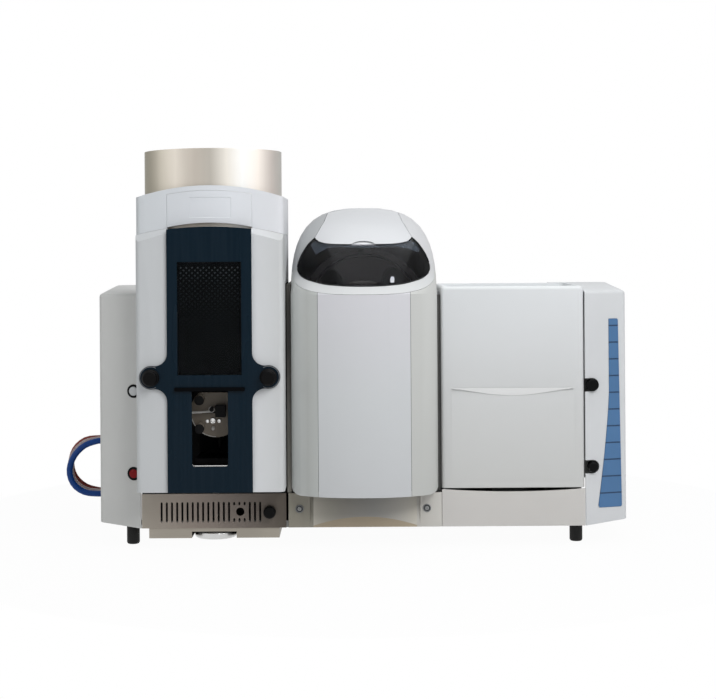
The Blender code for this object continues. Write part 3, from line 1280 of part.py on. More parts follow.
def rim_edge(rise=0.0):
    """The seam under the rim: level in front, turned up at the corners."""
    steps = 24
    points = []
    for i in range(steps + 1):
        a = math.pi * i / steps
        x = RIM_HALF * math.copysign(abs(math.cos(a)) ** (2 / 3), math.cos(a))
        z = RIM_SIDE - (RIM_SIDE - RIM_BASE) * math.sin(a) ** (2 / 3)
        points.append((x, z + rise))
    return points


def build_tower(look, root):
    at = (TOWER_X, 0, 0)
    low = PANEL_TOP
    wide = TOWER_HALF + OVERRUN
    front = -TOWER_BULGE - OVERRUN
    inside = cutter(tower_skin(WALL), root, at)
    edge = rim_edge()
    below = [(wide, RIM_SIDE), (wide, low - OVERRUN), (-wide, low - OVERRUN), (-wide, RIM_SIDE)]
    below_rim = cutter(outline(edge + below[::-1], front, MODULE_BACK, "Y"), root, at)
    lower = rim_edge(-SEAM)
    below = [(wide, RIM_SIDE - SEAM), (wide, low - OVERRUN), (-wide, low - OVERRUN), (-wide, RIM_SIDE - SEAM)]
    panel_zone = outline(lower + below[::-1], front, MODULE_BACK - SEAM, "Y")

    hood = part("tower_hood", tower_skin(0), look["housing"], root, at)
    cut(hood, inside, below_rim)
    cut(hood, cutter(box((-wide, MODULE_BACK - OVERRUN, low - OVERRUN), (wide, TOWER_BACK + OVERRUN, BODY_TOP - WALL + SEAT)),
                     root, at))
    hinge = (TOWER_X, HINGE_Y, HINGE_Z)
    cut(hood, cutter(lid_sweep(0), root, hinge))
    smooth(hood)

    cheek_zone = rounded(TOWER_HALF + SHEET, low + SEAM, RIM_SIDE + 2 * OVERRUN, TOWER_CORNER)
    for name, side in (("left", -1), ("right", 1)):
        cheek = part(f"tower_cheek_{name}", tower_skin(0), look["housing"], root, at)
        cut(cheek, inside)
        keep(cheek, cutter(panel_zone.copy(), root, at))
        keep(cheek, cutter(outline(cheek_zone, front, MODULE_BACK, "Y"), root, at))
        spans = sorted((side * (TOWER_SEAM_X + SEAM / 2), -side * wide))
        cut(cheek, cutter(box((spans[0], front, low - OVERRUN), (spans[1], TOWER_BACK + OVERRUN, RIM_SIDE + OVERRUN)),
                          root, at))
        smooth(cheek)
    panel = part("tower_front_panel", tower_skin(0), look["housing"], root, at)
    cut(panel, inside)
    keep(panel, cutter(panel_zone.copy(), root, at))
    half = TOWER_SEAM_X - SEAM / 2
    keep(panel, cutter(box((-half, front, low), (half, 0, RIM_SIDE)), root, at))
    smooth(panel)

    swing = pivot("lamp_lid_axis", root, hinge)
    cap_edge = [(CAP_CORNER_HALF + SHEET, CAP_FRONT_HIGH), ]
    steps = 16
    for i in range(steps + 1):
        a = math.pi * i / steps
        c = math.cos(a)
        cap_edge.append(((CAP_CORNER_HALF + SEAM) * math.copysign(abs(c) ** (2 / 2.6), c),
                         CAP_FRONT_HIGH - (CAP_FRONT_HIGH - CAP_FRONT_LOW) * math.sin(a) ** (2 / 2.6)))
    cap_edge.append((-CAP_CORNER_HALF - SHEET, CAP_FRONT_HIGH))
    crest = RIM_BASE + DOME_RISE + OVERRUN
    cap_zone = cap_edge + [(-CAP_CORNER_HALF - SHEET, crest), (CAP_CORNER_HALF + SHEET, crest)]
    for name, colour in (("lamp_visor", "smoked"), ("lamp_lid_cap", "housing")):
        piece = part(name, tower_skin(0), look[colour], swing, at)
        cut(piece, inside)
        keep(piece, cutter(lid_sweep(LID_GAP), swing, hinge))
        if name == "lamp_visor":
            cut(piece, cutter(outline(cap_zone, front, TOWER_BACK, "Y"), swing, at))
        else:
            lifted = cutter(outline([(x, z + SEAM) for x, z in cap_zone], front, TOWER_BACK, "Y"), swing, at)
            keep(piece, lifted)
            points = arc(0, 0, NOTCH_HALF, 0, 180)
            notch = [(x, CAP_FRONT_LOW - SHEET / 2 + y * NOTCH_RISE / NOTCH_HALF) for x, y in points]
            cut(piece, cutter(outline(notch, front, MODULE_BACK / 4, "Y"), swing, at))
        smooth(piece)
    build_lamp_bay(look, root)
    build_kick_panel(look, root)


def build_lamp_bay(look, root):
    half = TOWER_HALF - WALL - SEAT
    front = SCOOP_DEPTH + PANEL + SEAT
    at = (TOWER_X, 0, 0)
    bay = part("lamp_bay", box((-half, front, MODULE_FLOOR), (half, BAY_BACK, BAY_TOP)), look["well"], root, at)
    inner = half - WALL
    cut(bay, cutter(box((-inner, front - OVERRUN, BAY_LOW + WALL), (inner, BAY_BACK - WALL, BAY_TOP + OVERRUN)),
                    root, at))
    cut(bay, cutter(box((-inner, front + WALL, MODULE_FLOOR - OVERRUN), (inner, BAY_BACK - WALL, BAY_LOW)), root, at))
    axis_at = (TOWER_X, 0, WHEEL_AXIS_Z)
    cut(bay, cutter(rod(ROTOR_SHAFT_RADIUS + SEAT, BAY_BACK - OVERRUN, BAY_BACK + OVERRUN, "Y"), root, axis_at))
    spin = pivot("carousel_axis", root, axis_at)
    back = BAY_BACK
    rotor = turned([(0, back), (ROTOR_SHAFT_RADIUS, back), (ROTOR_SHAFT_RADIUS, BAY_BACK - WALL - SEAT),
                    (ROTOR_HUB_RADIUS, BAY_BACK - WALL - SEAT), (ROTOR_HUB_RADIUS, ROTOR_Y + ROTOR_THICK),
                    (ROTOR_RADIUS, ROTOR_Y + ROTOR_THICK), (ROTOR_RADIUS, ROTOR_Y), (0, ROTOR_Y)], "Y", 32)
    wheel = part("lamp_carousel", rotor, look["well"], spin, axis_at)
    holes = []
    for i in range(LAMP_COUNT):
        a = math.radians(180 * 0.76 + 360 * i / LAMP_COUNT)
        x, z = LAMP_RING * math.cos(a), LAMP_RING * math.sin(a)
        holes.append(rod(LAMP_BULB_RADIUS + SEAT, 0, BAY_BACK - 2 * WALL, "Y", (x, z), 20))
        lamp = turned([(0, LAMP_FRONT + LAMP_LENGTH), (LAMP_BULB_RADIUS, LAMP_FRONT + LAMP_LENGTH),
                       (LAMP_BULB_RADIUS, ROTOR_Y - SEAT), (LAMP_RADIUS, ROTOR_Y - SEAT), (LAMP_RADIUS, LAMP_FRONT),
                       (0, LAMP_FRONT)], "Y", 20)
        spot = (TOWER_X + x, 0, WHEEL_AXIS_Z + z)
        smooth(part(f"hollow_cathode_lamp_{i + 1}", lamp, look["lamp"], spin, spot))
    cut(wheel, cutter(merged(*holes), spin, axis_at))


def build_kick_panel(look, root):
    at = (TOWER_X, 0, 0)
    panel = part("kick_panel", box((-KICK_HALF, 0, FOOT_HEIGHT), (KICK_HALF, PANEL, PANEL_TOP)), look["lower"],
                 root, at)
    backing = FOOT_HEIGHT + TRAY_HEIGHT + SEAT
    rim = SCOOP_HALF + PANEL
    fuse(panel, cutter(box((-rim, PANEL / 2, backing), (rim, SCOOP_DEPTH + PANEL, PANEL_TOP)), root, at))
    rings = []
    steps = 12
    for i in range(steps + 1):
        x = -SCOOP_HALF + 2 * SCOOP_HALF * i / steps
        lip = bow(x, SCOOP_HALF, SCOOP_LIP_SIDE, SCOOP_LIP_MID)
        rings.append([(x, -OVERRUN, lip), (x, 0, lip), (x, PANEL / 2, lip + (PANEL_TOP - lip) * 0.18),
                      (x, SCOOP_DEPTH, PANEL_TOP + SHEET), (x, -OVERRUN, PANEL_TOP + SHEET)])
    cut(panel, cutter(loft(rings), root, at))


# ---- furnace bay

def build_furnace(look, root):
    at = (FURNACE_X, 0, 0)
    half = FURNACE_BOX_HALF
    slab_low = LID_TOP - TRAY_DEPTH - WALL
    top = FURNACE_HINGE_Z - 2 * WALL
    back = LID_BACK - WALL
    case = part("furnace_box", box((-half, BOX_FRONT, MODULE_FLOOR), (half, back, top)), look["lower"], root, at)
    cut(case, cutter(box((-half + WALL, BOX_FRONT - OVERRUN, MODULE_FLOOR + WALL),
                         (half - WALL, back - WALL, top + OVERRUN)), root, at))
    flange = box((half - WALL / 2, ADJUST_PLATE_Y, ADJUST_LOW_Z - 2 * NOTCH_RADIUS),
                 (ADJUST_PLATE_REACH - FURNACE_X, ADJUST_PLATE_Y + SHEET, ADJUST_HIGH_Z + 2 * NOTCH_RADIUS))
    fuse(case, cutter(flange, root, at))
    for z in (ADJUST_HIGH_Z, ADJUST_LOW_Z):
        hole = rod(ADJUST_SHAFT + SCREW_CLEARANCE, ADJUST_PLATE_Y - OVERRUN, ADJUST_PLATE_Y + OVERRUN, "Y",
                   (ADJUST_X, z), 20)
        cut(case, cutter(hole, root))
    ear = 2 * WALL
    knuckle = ear / 2 + WALL / 2
    lug = half * 0.7
    for side in (-1, 1):
        ends = sorted((side * lug, side * (lug + ear)))
        fuse(case, cutter(box((ends[0], FURNACE_HINGE_Y - WALL, top - OVERRUN),
                              (ends[1], FURNACE_HINGE_Y + WALL, FURNACE_HINGE_Z)), root, at))
        fuse(case, cutter(rod(WALL - SEAT / 2, ends[0], ends[1], "X", (FURNACE_HINGE_Y, FURNACE_HINGE_Z), 16), root, at))
    pin_radius = WALL / 2
    hole = pin_radius + SEAT
    reach = lug + 2 * ear + 2 * SEAM
    pin = rod(pin_radius, -reach, reach, "X", (FURNACE_HINGE_Y, FURNACE_HINGE_Z), 12)
    fuse(case, cutter(pin, root, at))

    hinge_at = (FURNACE_X, FURNACE_HINGE_Y, FURNACE_HINGE_Z)
    swing = pivot("furnace_cover_axis", root, hinge_at)
    full = FURNACE_HALF

    def rims(a, b):
        across = abs(a.x - b.x) > WALL and a.z > slab_low and a.y < LID_BACK / 2
        sides = abs(a.y - b.y) > WALL and a.z > slab_low
        return across or sides or (upright(a, b) and a.y < LID_BACK / 2)

    cover = part("furnace_cover", round_box((-full, 0, LID_LOW), (full, LID_BACK, LID_TOP), LID_ROUND, rims),
                 look["housing"], swing, at)
    inner = full - WALL
    cut(cover, cutter(box((-inner, WALL, LID_LOW - OVERRUN), (inner, LID_BACK + OVERRUN, slab_low)), swing, at))
    cut(cover, cutter(box((-full - OVERRUN, LID_SKIRT, LID_LOW - OVERRUN),
                          (full + OVERRUN, LID_BACK + OVERRUN, slab_low)), swing, at))
    tray = [(x, y) for x, y in rounded(full - TRAY_RIM, TRAY_RIM, LID_BACK - TRAY_RIM, 2 * TRAY_RIM)]
    cut(cover, cutter(outline(tray, LID_TOP - TRAY_DEPTH, LID_TOP + OVERRUN), swing, at))
    rings = []
    steps = 12
    for i in range(steps + 1):
        share = -1 + 2 * i / steps
        x = LEDGE_SPAN * share
        swell = 1 - share ** 2
        out = -SEAT - LEDGE_CUT * swell
        rings.append([(x, PANEL / 2, LEDGE_Z), (x, -SEAT / 2, LEDGE_Z), (x, out, LEDGE_Z - SHEET / 4 - LEDGE_DROP * swell),
                      (x, -SEAT, LID_LOW + 2 * LID_ROUND), (x, PANEL / 2, LID_LOW + 2 * LID_ROUND)])
    fuse(cover, cutter(loft(rings), swing, at))
    for side in (-1, 1):
        start = side * (lug + ear + SEAM)
        ends = sorted((start, start + side * ear))
        fuse(cover, cutter(box((ends[0], FURNACE_HINGE_Y - knuckle, FURNACE_HINGE_Z - WALL),
                               (ends[1], FURNACE_HINGE_Y + knuckle, slab_low + WALL / 2)), swing, at))
    cut(cover, cutter(rod(hole, -half, half, "X", (FURNACE_HINGE_Y, FURNACE_HINGE_Z), 16), swing, at))

    left = TOWER_X + KICK_HALF + SEAM
    right = BODY_HALF - SEAM
    middle = (left + right) / 2
    span = (right - left) / 2
    low_top = LID_LOW - SHEET
    edge = [(x + middle, z) for x, z in bowed_edge(span, low_top, low_top - DIP)]
    part("furnace_lower_panel", outline(edge + [(left, FOOT_HEIGHT), (right, FOOT_HEIGHT)], 0, PANEL, "Y"),
         look["housing"], root)

    floor = MODULE_FLOOR + WALL + SEAT
    deep = HEAD_BLOCK_DEPTH / 2
    centre_y = (BOX_FRONT + back) / 2
    mid = (FURNACE_X, centre_y, 0)
    stand_half = HEAD_BLOCK_HALF * 0.7
    stand = part("furnace_stand", box((-stand_half, -deep, floor), (stand_half, deep, HEAD_BLOCK_LOW - SEAT)),
                 look["chassis"], root, mid)
    soften(stand, SHEET, 1)
    head = part("graphite_furnace", box((-HEAD_BLOCK_HALF, -deep, HEAD_BLOCK_LOW), (HEAD_BLOCK_HALF, deep, HEAD_BLOCK_HIGH)),
                look["graphite"], root, mid)
    soften(head, LID_ROUND, 2)
    cut(head, cutter(rod(TUBE_BORE, -HEAD_BLOCK_HALF - OVERRUN, HEAD_BLOCK_HALF + OVERRUN, "X", (0, TUBE_Z), 16),
                     root, mid))


def main():
    for obj in list(bpy.data.objects):
        bpy.data.objects.remove(obj, do_unlink=True)
    for group in (PARTS, CUTTERS):
        bpy.context.scene.collection.children.link(group)
    root = bpy.data.objects.new("spectrometer_frame", None)
    PARTS.objects.link(root)
    root.location = (0, -CENTRE_Y, 0)
    look = finishes()
    build_chassis(look, root)
    build_covers(look, root)
    build_flame_bay(look, root)
    build_tower(look, root)
    build_furnace(look, root)
    CUTTERS.hide_render = True


main()
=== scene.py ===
import json
import math

import bmesh
import bpy
from mathutils import Matrix, Vector
from mathutils.bvhtree import BVHTree

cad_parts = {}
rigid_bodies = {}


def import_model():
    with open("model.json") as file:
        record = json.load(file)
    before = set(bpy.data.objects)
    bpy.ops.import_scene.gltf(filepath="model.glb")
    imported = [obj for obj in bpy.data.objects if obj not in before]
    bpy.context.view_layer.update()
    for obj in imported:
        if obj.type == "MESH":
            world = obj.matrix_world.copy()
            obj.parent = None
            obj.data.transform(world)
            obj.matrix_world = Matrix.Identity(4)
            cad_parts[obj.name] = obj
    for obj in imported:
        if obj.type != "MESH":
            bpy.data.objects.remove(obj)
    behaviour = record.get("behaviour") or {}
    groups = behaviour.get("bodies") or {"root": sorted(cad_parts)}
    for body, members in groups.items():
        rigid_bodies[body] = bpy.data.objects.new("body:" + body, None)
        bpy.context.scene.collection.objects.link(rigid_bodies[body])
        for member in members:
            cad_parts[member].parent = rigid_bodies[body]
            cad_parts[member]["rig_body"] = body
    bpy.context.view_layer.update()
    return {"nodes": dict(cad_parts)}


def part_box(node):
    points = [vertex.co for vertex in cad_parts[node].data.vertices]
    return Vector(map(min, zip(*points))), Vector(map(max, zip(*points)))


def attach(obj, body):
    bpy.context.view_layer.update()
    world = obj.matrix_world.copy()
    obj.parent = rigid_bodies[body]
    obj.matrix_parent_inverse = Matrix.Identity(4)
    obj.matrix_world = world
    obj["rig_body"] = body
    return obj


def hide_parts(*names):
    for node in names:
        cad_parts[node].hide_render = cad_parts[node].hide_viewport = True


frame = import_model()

SCENE = bpy.context.scene
NODES = frame["nodes"]
BODY_OF = {name: node["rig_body"] for name, node in NODES.items()}


def middle_of(node):
    low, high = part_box(node)
    return (Vector(low) + Vector(high)) / 2


FLAME = middle_of("flame_box").x
TOWER = middle_of("tower_hood").x
FURNACE = middle_of("furnace_cover").x
KICK_Y = -0.228


# Camera

def build_camera():
    camera = bpy.data.objects.new("photo_camera", bpy.data.cameras.new("photo_camera"))
    SCENE.collection.objects.link(camera)
    camera.location = (-0.0085, -2.928, 0.5535)
    camera.rotation_euler = (math.radians(90), math.radians(0.38), 0)
    camera.data.sensor_width = 36
    camera.data.lens = 1506 * 36 / 716
    camera.data.shift_x = 1.0 / 716
    camera.data.shift_y = -110.5 / 716
    camera.data.clip_end = 60
    SCENE.camera = camera


# Materials

class Look:
    """A procedural material under construction, with object coordinates in metres."""

    def __init__(self, name, base, rough, metallic=0.0, gloss=0.5, **sockets):
        self.material = bpy.data.materials.new(name)
        self.material.use_nodes = True
        self.tree = self.material.node_tree
        self.shader = self.tree.nodes["Principled BSDF"]
        self.shader.inputs["Base Color"].default_value = (*base, 1)
        self.shader.inputs["Roughness"].default_value = rough
        self.shader.inputs["Metallic"].default_value = metallic
        self.shader.inputs["Specular IOR Level"].default_value = gloss
        for key, value in sockets.items():
            self.shader.inputs[key.replace("_", " ")].default_value = value
        self.base = base
        self.at = self.tree.nodes.new("ShaderNodeTexCoord").outputs["Object"]

    def node(self, kind, **inputs):
        made = self.tree.nodes.new(kind)
        for key, value in inputs.items():
            made.inputs[key.replace("_", " ")].default_value = value
        return made

    def link(self, a, b):
        self.tree.links.new(a, b)

    def maths(self, operation, a, b=0.0):
        made = self.tree.nodes.new("ShaderNodeMath")
        made.operation = operation
        for socket, value in zip(made.inputs, (a, b)):
            if isinstance(value, (int, float)):
                socket.default_value = value
            else:
                self.link(value, socket)
        return made.outputs[0]

    def axis(self, letter):
        made = self.tree.nodes.new("ShaderNodeSeparateXYZ")
        self.link(self.at, made.inputs[0])
        return made.outputs[letter]

    def stretched(self, scale):
        mapping = self.node("ShaderNodeMapping", Scale=scale)
        self.link(self.at, mapping.inputs["Vector"])
        return mapping.outputs["Vector"]

    def noise(self, scale, detail=2.0, stretch=None, rough=0.5):
        made = self.node("ShaderNodeTexNoise", Scale=scale, Detail=detail, Roughness=rough)
        self.link(self.stretched(stretch) if stretch else self.at, made.inputs["Vector"])
        return made.outputs["Fac"]

    def ramp(self, fac, stops):
        made = self.node("ShaderNodeValToRGB")
        elements = made.color_ramp.elements
        while len(elements) < len(stops):
            elements.new(0.5)
        for element, (position, colour) in zip(elements, stops):
            element.position = position
            element.color = (*colour, 1)
        self.link(fac, made.inputs["Fac"])
        return made.outputs["Color"]

    def tint(self, fac, other, low=0.35, high=0.65):
        """Colour varies from the base to the other colour with a noise."""
        self.colour(self.ramp(fac, ((low, self.base), (high, other))))

    def colour(self, socket):
        self.link(socket, self.shader.inputs["Base Color"])

    def blend(self, fac, a, b, kind="MIX"):
        made = self.tree.nodes.new("ShaderNodeMix")
        made.data_type = "RGBA"
        made.blend_type = kind
        for key, value in (("Factor", fac), ("A", a), ("B", b)):
            if isinstance(value, tuple):
                made.inputs[key].default_value = (*value, 1)
            elif isinstance(value, (int, float)):
                made.inputs[key].default_value = value
            else:
                self.link(value, made.inputs[key])
        return made.outputs["Result"]

    def spread(self, fac, **ends):
        made = self.tree.nodes.new("ShaderNodeMapRange")
        for key, value in ends.items():
            made.inputs[key.replace("_", " ")].default_value = value
        self.link(fac, made.inputs["Value"])
        return made.outputs["Result"]

    def vary_rough(self, fac, low, high):
        self.link(self.spread(fac, To_Min=low, To_Max=high), self.shader.inputs["Roughness"])

    def bump(self, fac, distance):
        made = self.node("ShaderNodeBump", Strength=1.0, Distance=distance)
        self.link(fac, made.inputs["Height"])
        self.link(made.outputs["Normal"], self.shader.inputs["Normal"])

    def share(self, letter, low, high):
        return self.maths("DIVIDE", self.maths("SUBTRACT", self.axis(letter), low), high - low)

    def finished(self, low, high, blotches=(30, 4), fine=1400, grain=0.00002):
        """Uneven gloss and a fine grain, the last steps of most looks."""
        self.vary_rough(self.noise(*blotches), low, high)
        self.bump(self.noise(fine, 2), grain)
        return self.material


def dimmed(colour, share):
    return tuple(v * share for v in colour)


def moulded(name, base, rough, mark=0.97, grain=0.00002, **sockets):
    """Moulded or painted surface: a fine grain, faint blotches and uneven gloss."""
    look = Look(name, base, rough, **sockets)
    look.tint(look.noise(9, 3), dimmed(base, mark))
    return look.finished(rough * 0.9, min(1, rough * 1.12), grain=grain)


def painted_shading(name, axis, low, high, stops, rim=None, rough=0.45):
    """Satin moulding with painted light and shade along one axis, plus a painted highlight on a paler rim
    below a height, if given.
    """
    look = Look(name, stops[0][1], rough)
    body = look.ramp(look.share(axis, low, high), stops)
    # The paler rim is a painted highlight.
    if rim:
        top, depth, pale = rim
        under = look.maths("MULTIPLY", look.maths("SUBTRACT", top, look.axis("Z")), 1 / depth)
        body = look.blend(look.maths("MAXIMUM", look.maths("MINIMUM", under, 1.0), 0.0), body, pale)
    look.colour(body)
    return look.finished(rough * 0.94, rough * 1.08, (35, 4), 1500)


def boxed(name, inner, outer, box, above):
    """Sooty inside and painted outside, above the roof that the box stands through."""
    skin_depth = 0.0008
    look = Look(name, inner, 0.55, gloss=0.2)
    (left, _, _), (right, back, _) = box
    off = look.maths("ABSOLUTE", look.maths("SUBTRACT", look.axis("X"), (left + right) / 2))
    side = look.maths("GREATER_THAN", off, (right - left) / 2 - skin_depth)
    rear = look.maths("GREATER_THAN", look.axis("Y"), back - skin_depth)
    high = look.maths("GREATER_THAN", look.axis("Z"), above)
    outside = look.maths("MULTIPLY", look.maths("MAXIMUM", side, rear), high)
    look.colour(look.blend(outside, inner, outer))
    return look.finished(0.5, 0.6, fine=900, grain=0.00003)


def brushed(name, base, rough, along, mark=0.9):
    """Brushed metal: fine scratches drawn out along one axis."""
    look = Look(name, base, rough, 1.0)
    streaks = look.noise(900, 3, tuple(0.03 if axis == along else 1.0 for axis in "XYZ"))
    look.tint(look.noise(12, 3), dimmed(base, mark))
    look.vary_rough(streaks, rough * 0.8, rough * 1.25)
    look.bump(streaks, 0.00002)
    return look.material


def painted_bands(name, low, high, stops, rough, metallic, **sockets):
    """Rolled sheet whose colour changes in soft upright bands of painted reflection and shade from one side
    to the other.
    """
    look = Look(name, stops[0][1], rough, metallic, **sockets)
    wander = look.maths("MULTIPLY", look.maths("SUBTRACT", look.noise(7, 2), 0.5), 0.012)
    across = look.maths("ADD", look.axis("X"), wander)
    bands = look.ramp(look.maths("DIVIDE", look.maths("SUBTRACT", across, low), high - low), stops)
    marks = look.ramp(look.noise(40, 4, (1.0, 1.0, 0.1)), ((0.3, (0.93, 0.93, 0.93)), (0.7, (1, 1, 1))))
    look.colour(look.blend(1.0, bands, marks, "MULTIPLY"))
    streaks = look.noise(900, 3, (0.03, 0.03, 1.0))
    look.vary_rough(streaks, rough * 0.85, rough * 1.15)
    look.bump(streaks, 0.00001)
    return look.material


def grooved(name, base, dark, first, pitch, height):
    """Blue moulding with painted shade in the bottom of its level grooves."""
    look = Look(name, base, 0.42)
    step = look.maths("DIVIDE", look.maths("SUBTRACT", first + height / 2, look.axis("Z")), pitch)
    inside = look.maths("LESS_THAN", look.maths("FRACT", step), height / pitch)
    groove_shade = look.maths("MULTIPLY", inside, look.maths("GREATER_THAN", step, 0.0))
    body = look.ramp(look.noise(14, 3), ((0.35, base), (0.65, dimmed(base, 0.93))))
    look.colour(look.blend(groove_shade, body, dark))
    return look.finished(0.38, 0.46)


def scooped(name, stops, lit_tan, pale, low, high, lit_edge_side, lit_edge_mid, scoop):
    """The kick panel with painted light and shade: darker on one side, pale at its scoop's ends, paler tan
    under the scoop's arch.
    """
    look = Look(name, stops[0][1], 0.42)
    body = look.ramp(look.share("X", low, high), stops)
    off = look.maths("DIVIDE", look.maths("SUBTRACT", look.axis("X"), (low + high) / 2), scoop)
    sag = look.maths("MULTIPLY", look.maths("MULTIPLY", off, off), lit_edge_mid - lit_edge_side)
    under = look.maths("LESS_THAN", look.axis("Z"), look.maths("SUBTRACT", lit_edge_mid, sag))
    inside = look.maths("LESS_THAN", look.maths("ABSOLUTE", off), 1.0)
    ends = look.maths("MULTIPLY", look.maths("POWER", look.maths("ABSOLUTE", off), 3.0), inside)
    # Painted light: pale at the scoop's ends, and paler tan under the arch, where the part below the bulge's
    # shadow is lit.
    body = look.blend(ends, body, pale)
    look.colour(look.blend(look.maths("MULTIPLY", under, inside), body, lit_tan))
    return look.finished(0.38, 0.46)


def streaked(name, base, other, rough, scale, **sockets):
    """Dark glossy moulding with soft upright streaks of a slightly paler tint."""
    look = Look(name, base, rough, **sockets)
    look.tint(look.noise(scale, 3, (1.0, 1.0, 0.04)), other, 0.38, 0.66)
    look.vary_rough(look.noise(25, 3, (1.0, 1.0, 0.2)), rough * 0.85, rough * 1.2)
    look.bump(look.noise(1200, 2), 0.000004)
    return look.material


def clear(name, tint, ior, **sockets):
    look = Look(name, tint, 0.0, Transmission_Weight=1.0, IOR=ior, **sockets)
    look.tint(look.noise(20, 2), dimmed(tint, 0.95))
    look.vary_rough(look.noise(60, 3), 0.0, 0.01)
    return look.material


def painted_top_light(name, low, high, dark, light, rough=0.6):
    """Dark metal with painted light that makes it paler towards its top."""
    look = Look(name, dark, rough)
    look.colour(look.ramp(look.share("Z", low, high), ((0.0, dark), (0.45, dimmed(dark, 4)),
                                                       (0.78, dimmed(dark, 9)), (1.0, light))))
    return look.finished(rough * 0.9, rough * 1.1, (40, 3), 900, 0.00003)


# Painted reflections on the chimney: upright bands of olive, beige and grey, with a near-white painted
# highlight band.
CHIMNEY_PAINTED_REFLECTIONS = (
    (0.0, (0.38, 0.35, 0.27)), (0.07, (0.46, 0.42, 0.34)), (0.25, (0.82, 0.75, 0.66)),
    (0.40, (0.60, 0.54, 0.47)), (0.50, (0.55, 0.51, 0.45)), (0.62, (0.92, 0.87, 0.79)),
    (0.73, (1.0, 0.99, 0.96)), (0.84, (1.0, 0.92, 0.84)), (0.93, (0.68, 0.61, 0.56)),
    (1.0, (0.50, 0.49, 0.45)))
# Painted shade on the vent plate: darker towards its right.
VENT_PAINTED_SHADING = (
    (0.0, (0.38, 0.34, 0.29)), (0.35, (0.30, 0.25, 0.215)), (0.7, (0.18, 0.15, 0.13)),
    (1.0, (0.085, 0.07, 0.055)))
# Painted shade on the kick panel: darker towards its left.
KICK_PAINTED_SHADING = (
    (0.0, (0.27, 0.25, 0.20)), (0.12, (0.29, 0.27, 0.22)), (0.30, (0.33, 0.31, 0.27)),
    (0.55, (0.36, 0.35, 0.33)), (0.80, (0.50, 0.48, 0.44)), (1.0, (0.62, 0.60, 0.56)))
# Painted light on the crown: lighter towards its right, where the key light falls.
CROWN_PAINTED_SHADING = (
    (0.0, (0.60, 0.625, 0.645)), (0.35, (0.68, 0.70, 0.73)), (0.65, (0.78, 0.80, 0.835)),
    (1.0, (0.76, 0.765, 0.79)))
# Painted light and shade on the flame frame: lighter towards its right part, darker again at its right edge.
FRAME_PAINTED_SHADING = (
    (0.0, (0.565, 0.58, 0.59)), (0.3, (0.56, 0.57, 0.58)), (0.78, (0.69, 0.70, 0.715)),
    (1.0, (0.57, 0.58, 0.58)))
# Painted light on the tower's front panel: lighter towards its top, darker towards its bottom.
PANEL_PAINTED_SHADING = ((0.0, (0.545, 0.555, 0.565)), (0.5, (0.60, 0.615, 0.625)), (1.0, (0.66, 0.655, 0.685)))
# Painted shade on the left cheek: darker from its outer edge towards the seam.
LEFT_CHEEK_PAINTED_SHADING = (
    (0.0, (0.66, 0.675, 0.66)), (0.35, (0.60, 0.615, 0.60)), (0.7, (0.445, 0.455, 0.44)),
    (1.0, (0.46, 0.475, 0.46)))
# Painted shade on the right cheek: darker towards its bottom.
RIGHT_CHEEK_PAINTED_SHADING = ((0.0, (0.505, 0.51, 0.49)), (1.0, (0.57, 0.575, 0.555)))
# Painted light on the furnace cover: lighter towards its top, with a painted highlight along its top edge.
COVER_PAINTED_SHADING = (
    (0.0, (0.575, 0.575, 0.56)), (0.40, (0.60, 0.605, 0.60)), (0.70, (0.66, 0.67, 0.675)),
    (0.96, (0.69, 0.705, 0.715)), (1.0, (0.84, 0.86, 0.86)))
# Painted shade for the strip in the gap beside the flame bay: dark towards its top, lighter towards its
# bottom.
STRIP_PAINTED_SHADING = (
    (0.0, (0.20, 0.19, 0.165)), (0.35, (0.13, 0.125, 0.11)), (0.7, (0.030, 0.028, 0.025)),
    (1.0, (0.035, 0.032, 0.026)))
# Painted shade on the hood: darker on its left side.
HOOD_PAINTED_SHADING = (
    (0.0, (0.36, 0.372, 0.38)), (0.25, (0.38, 0.392, 0.40)), (0.42, (0.58, 0.59, 0.61)),
    (1.0, (0.575, 0.575, 0.58)))


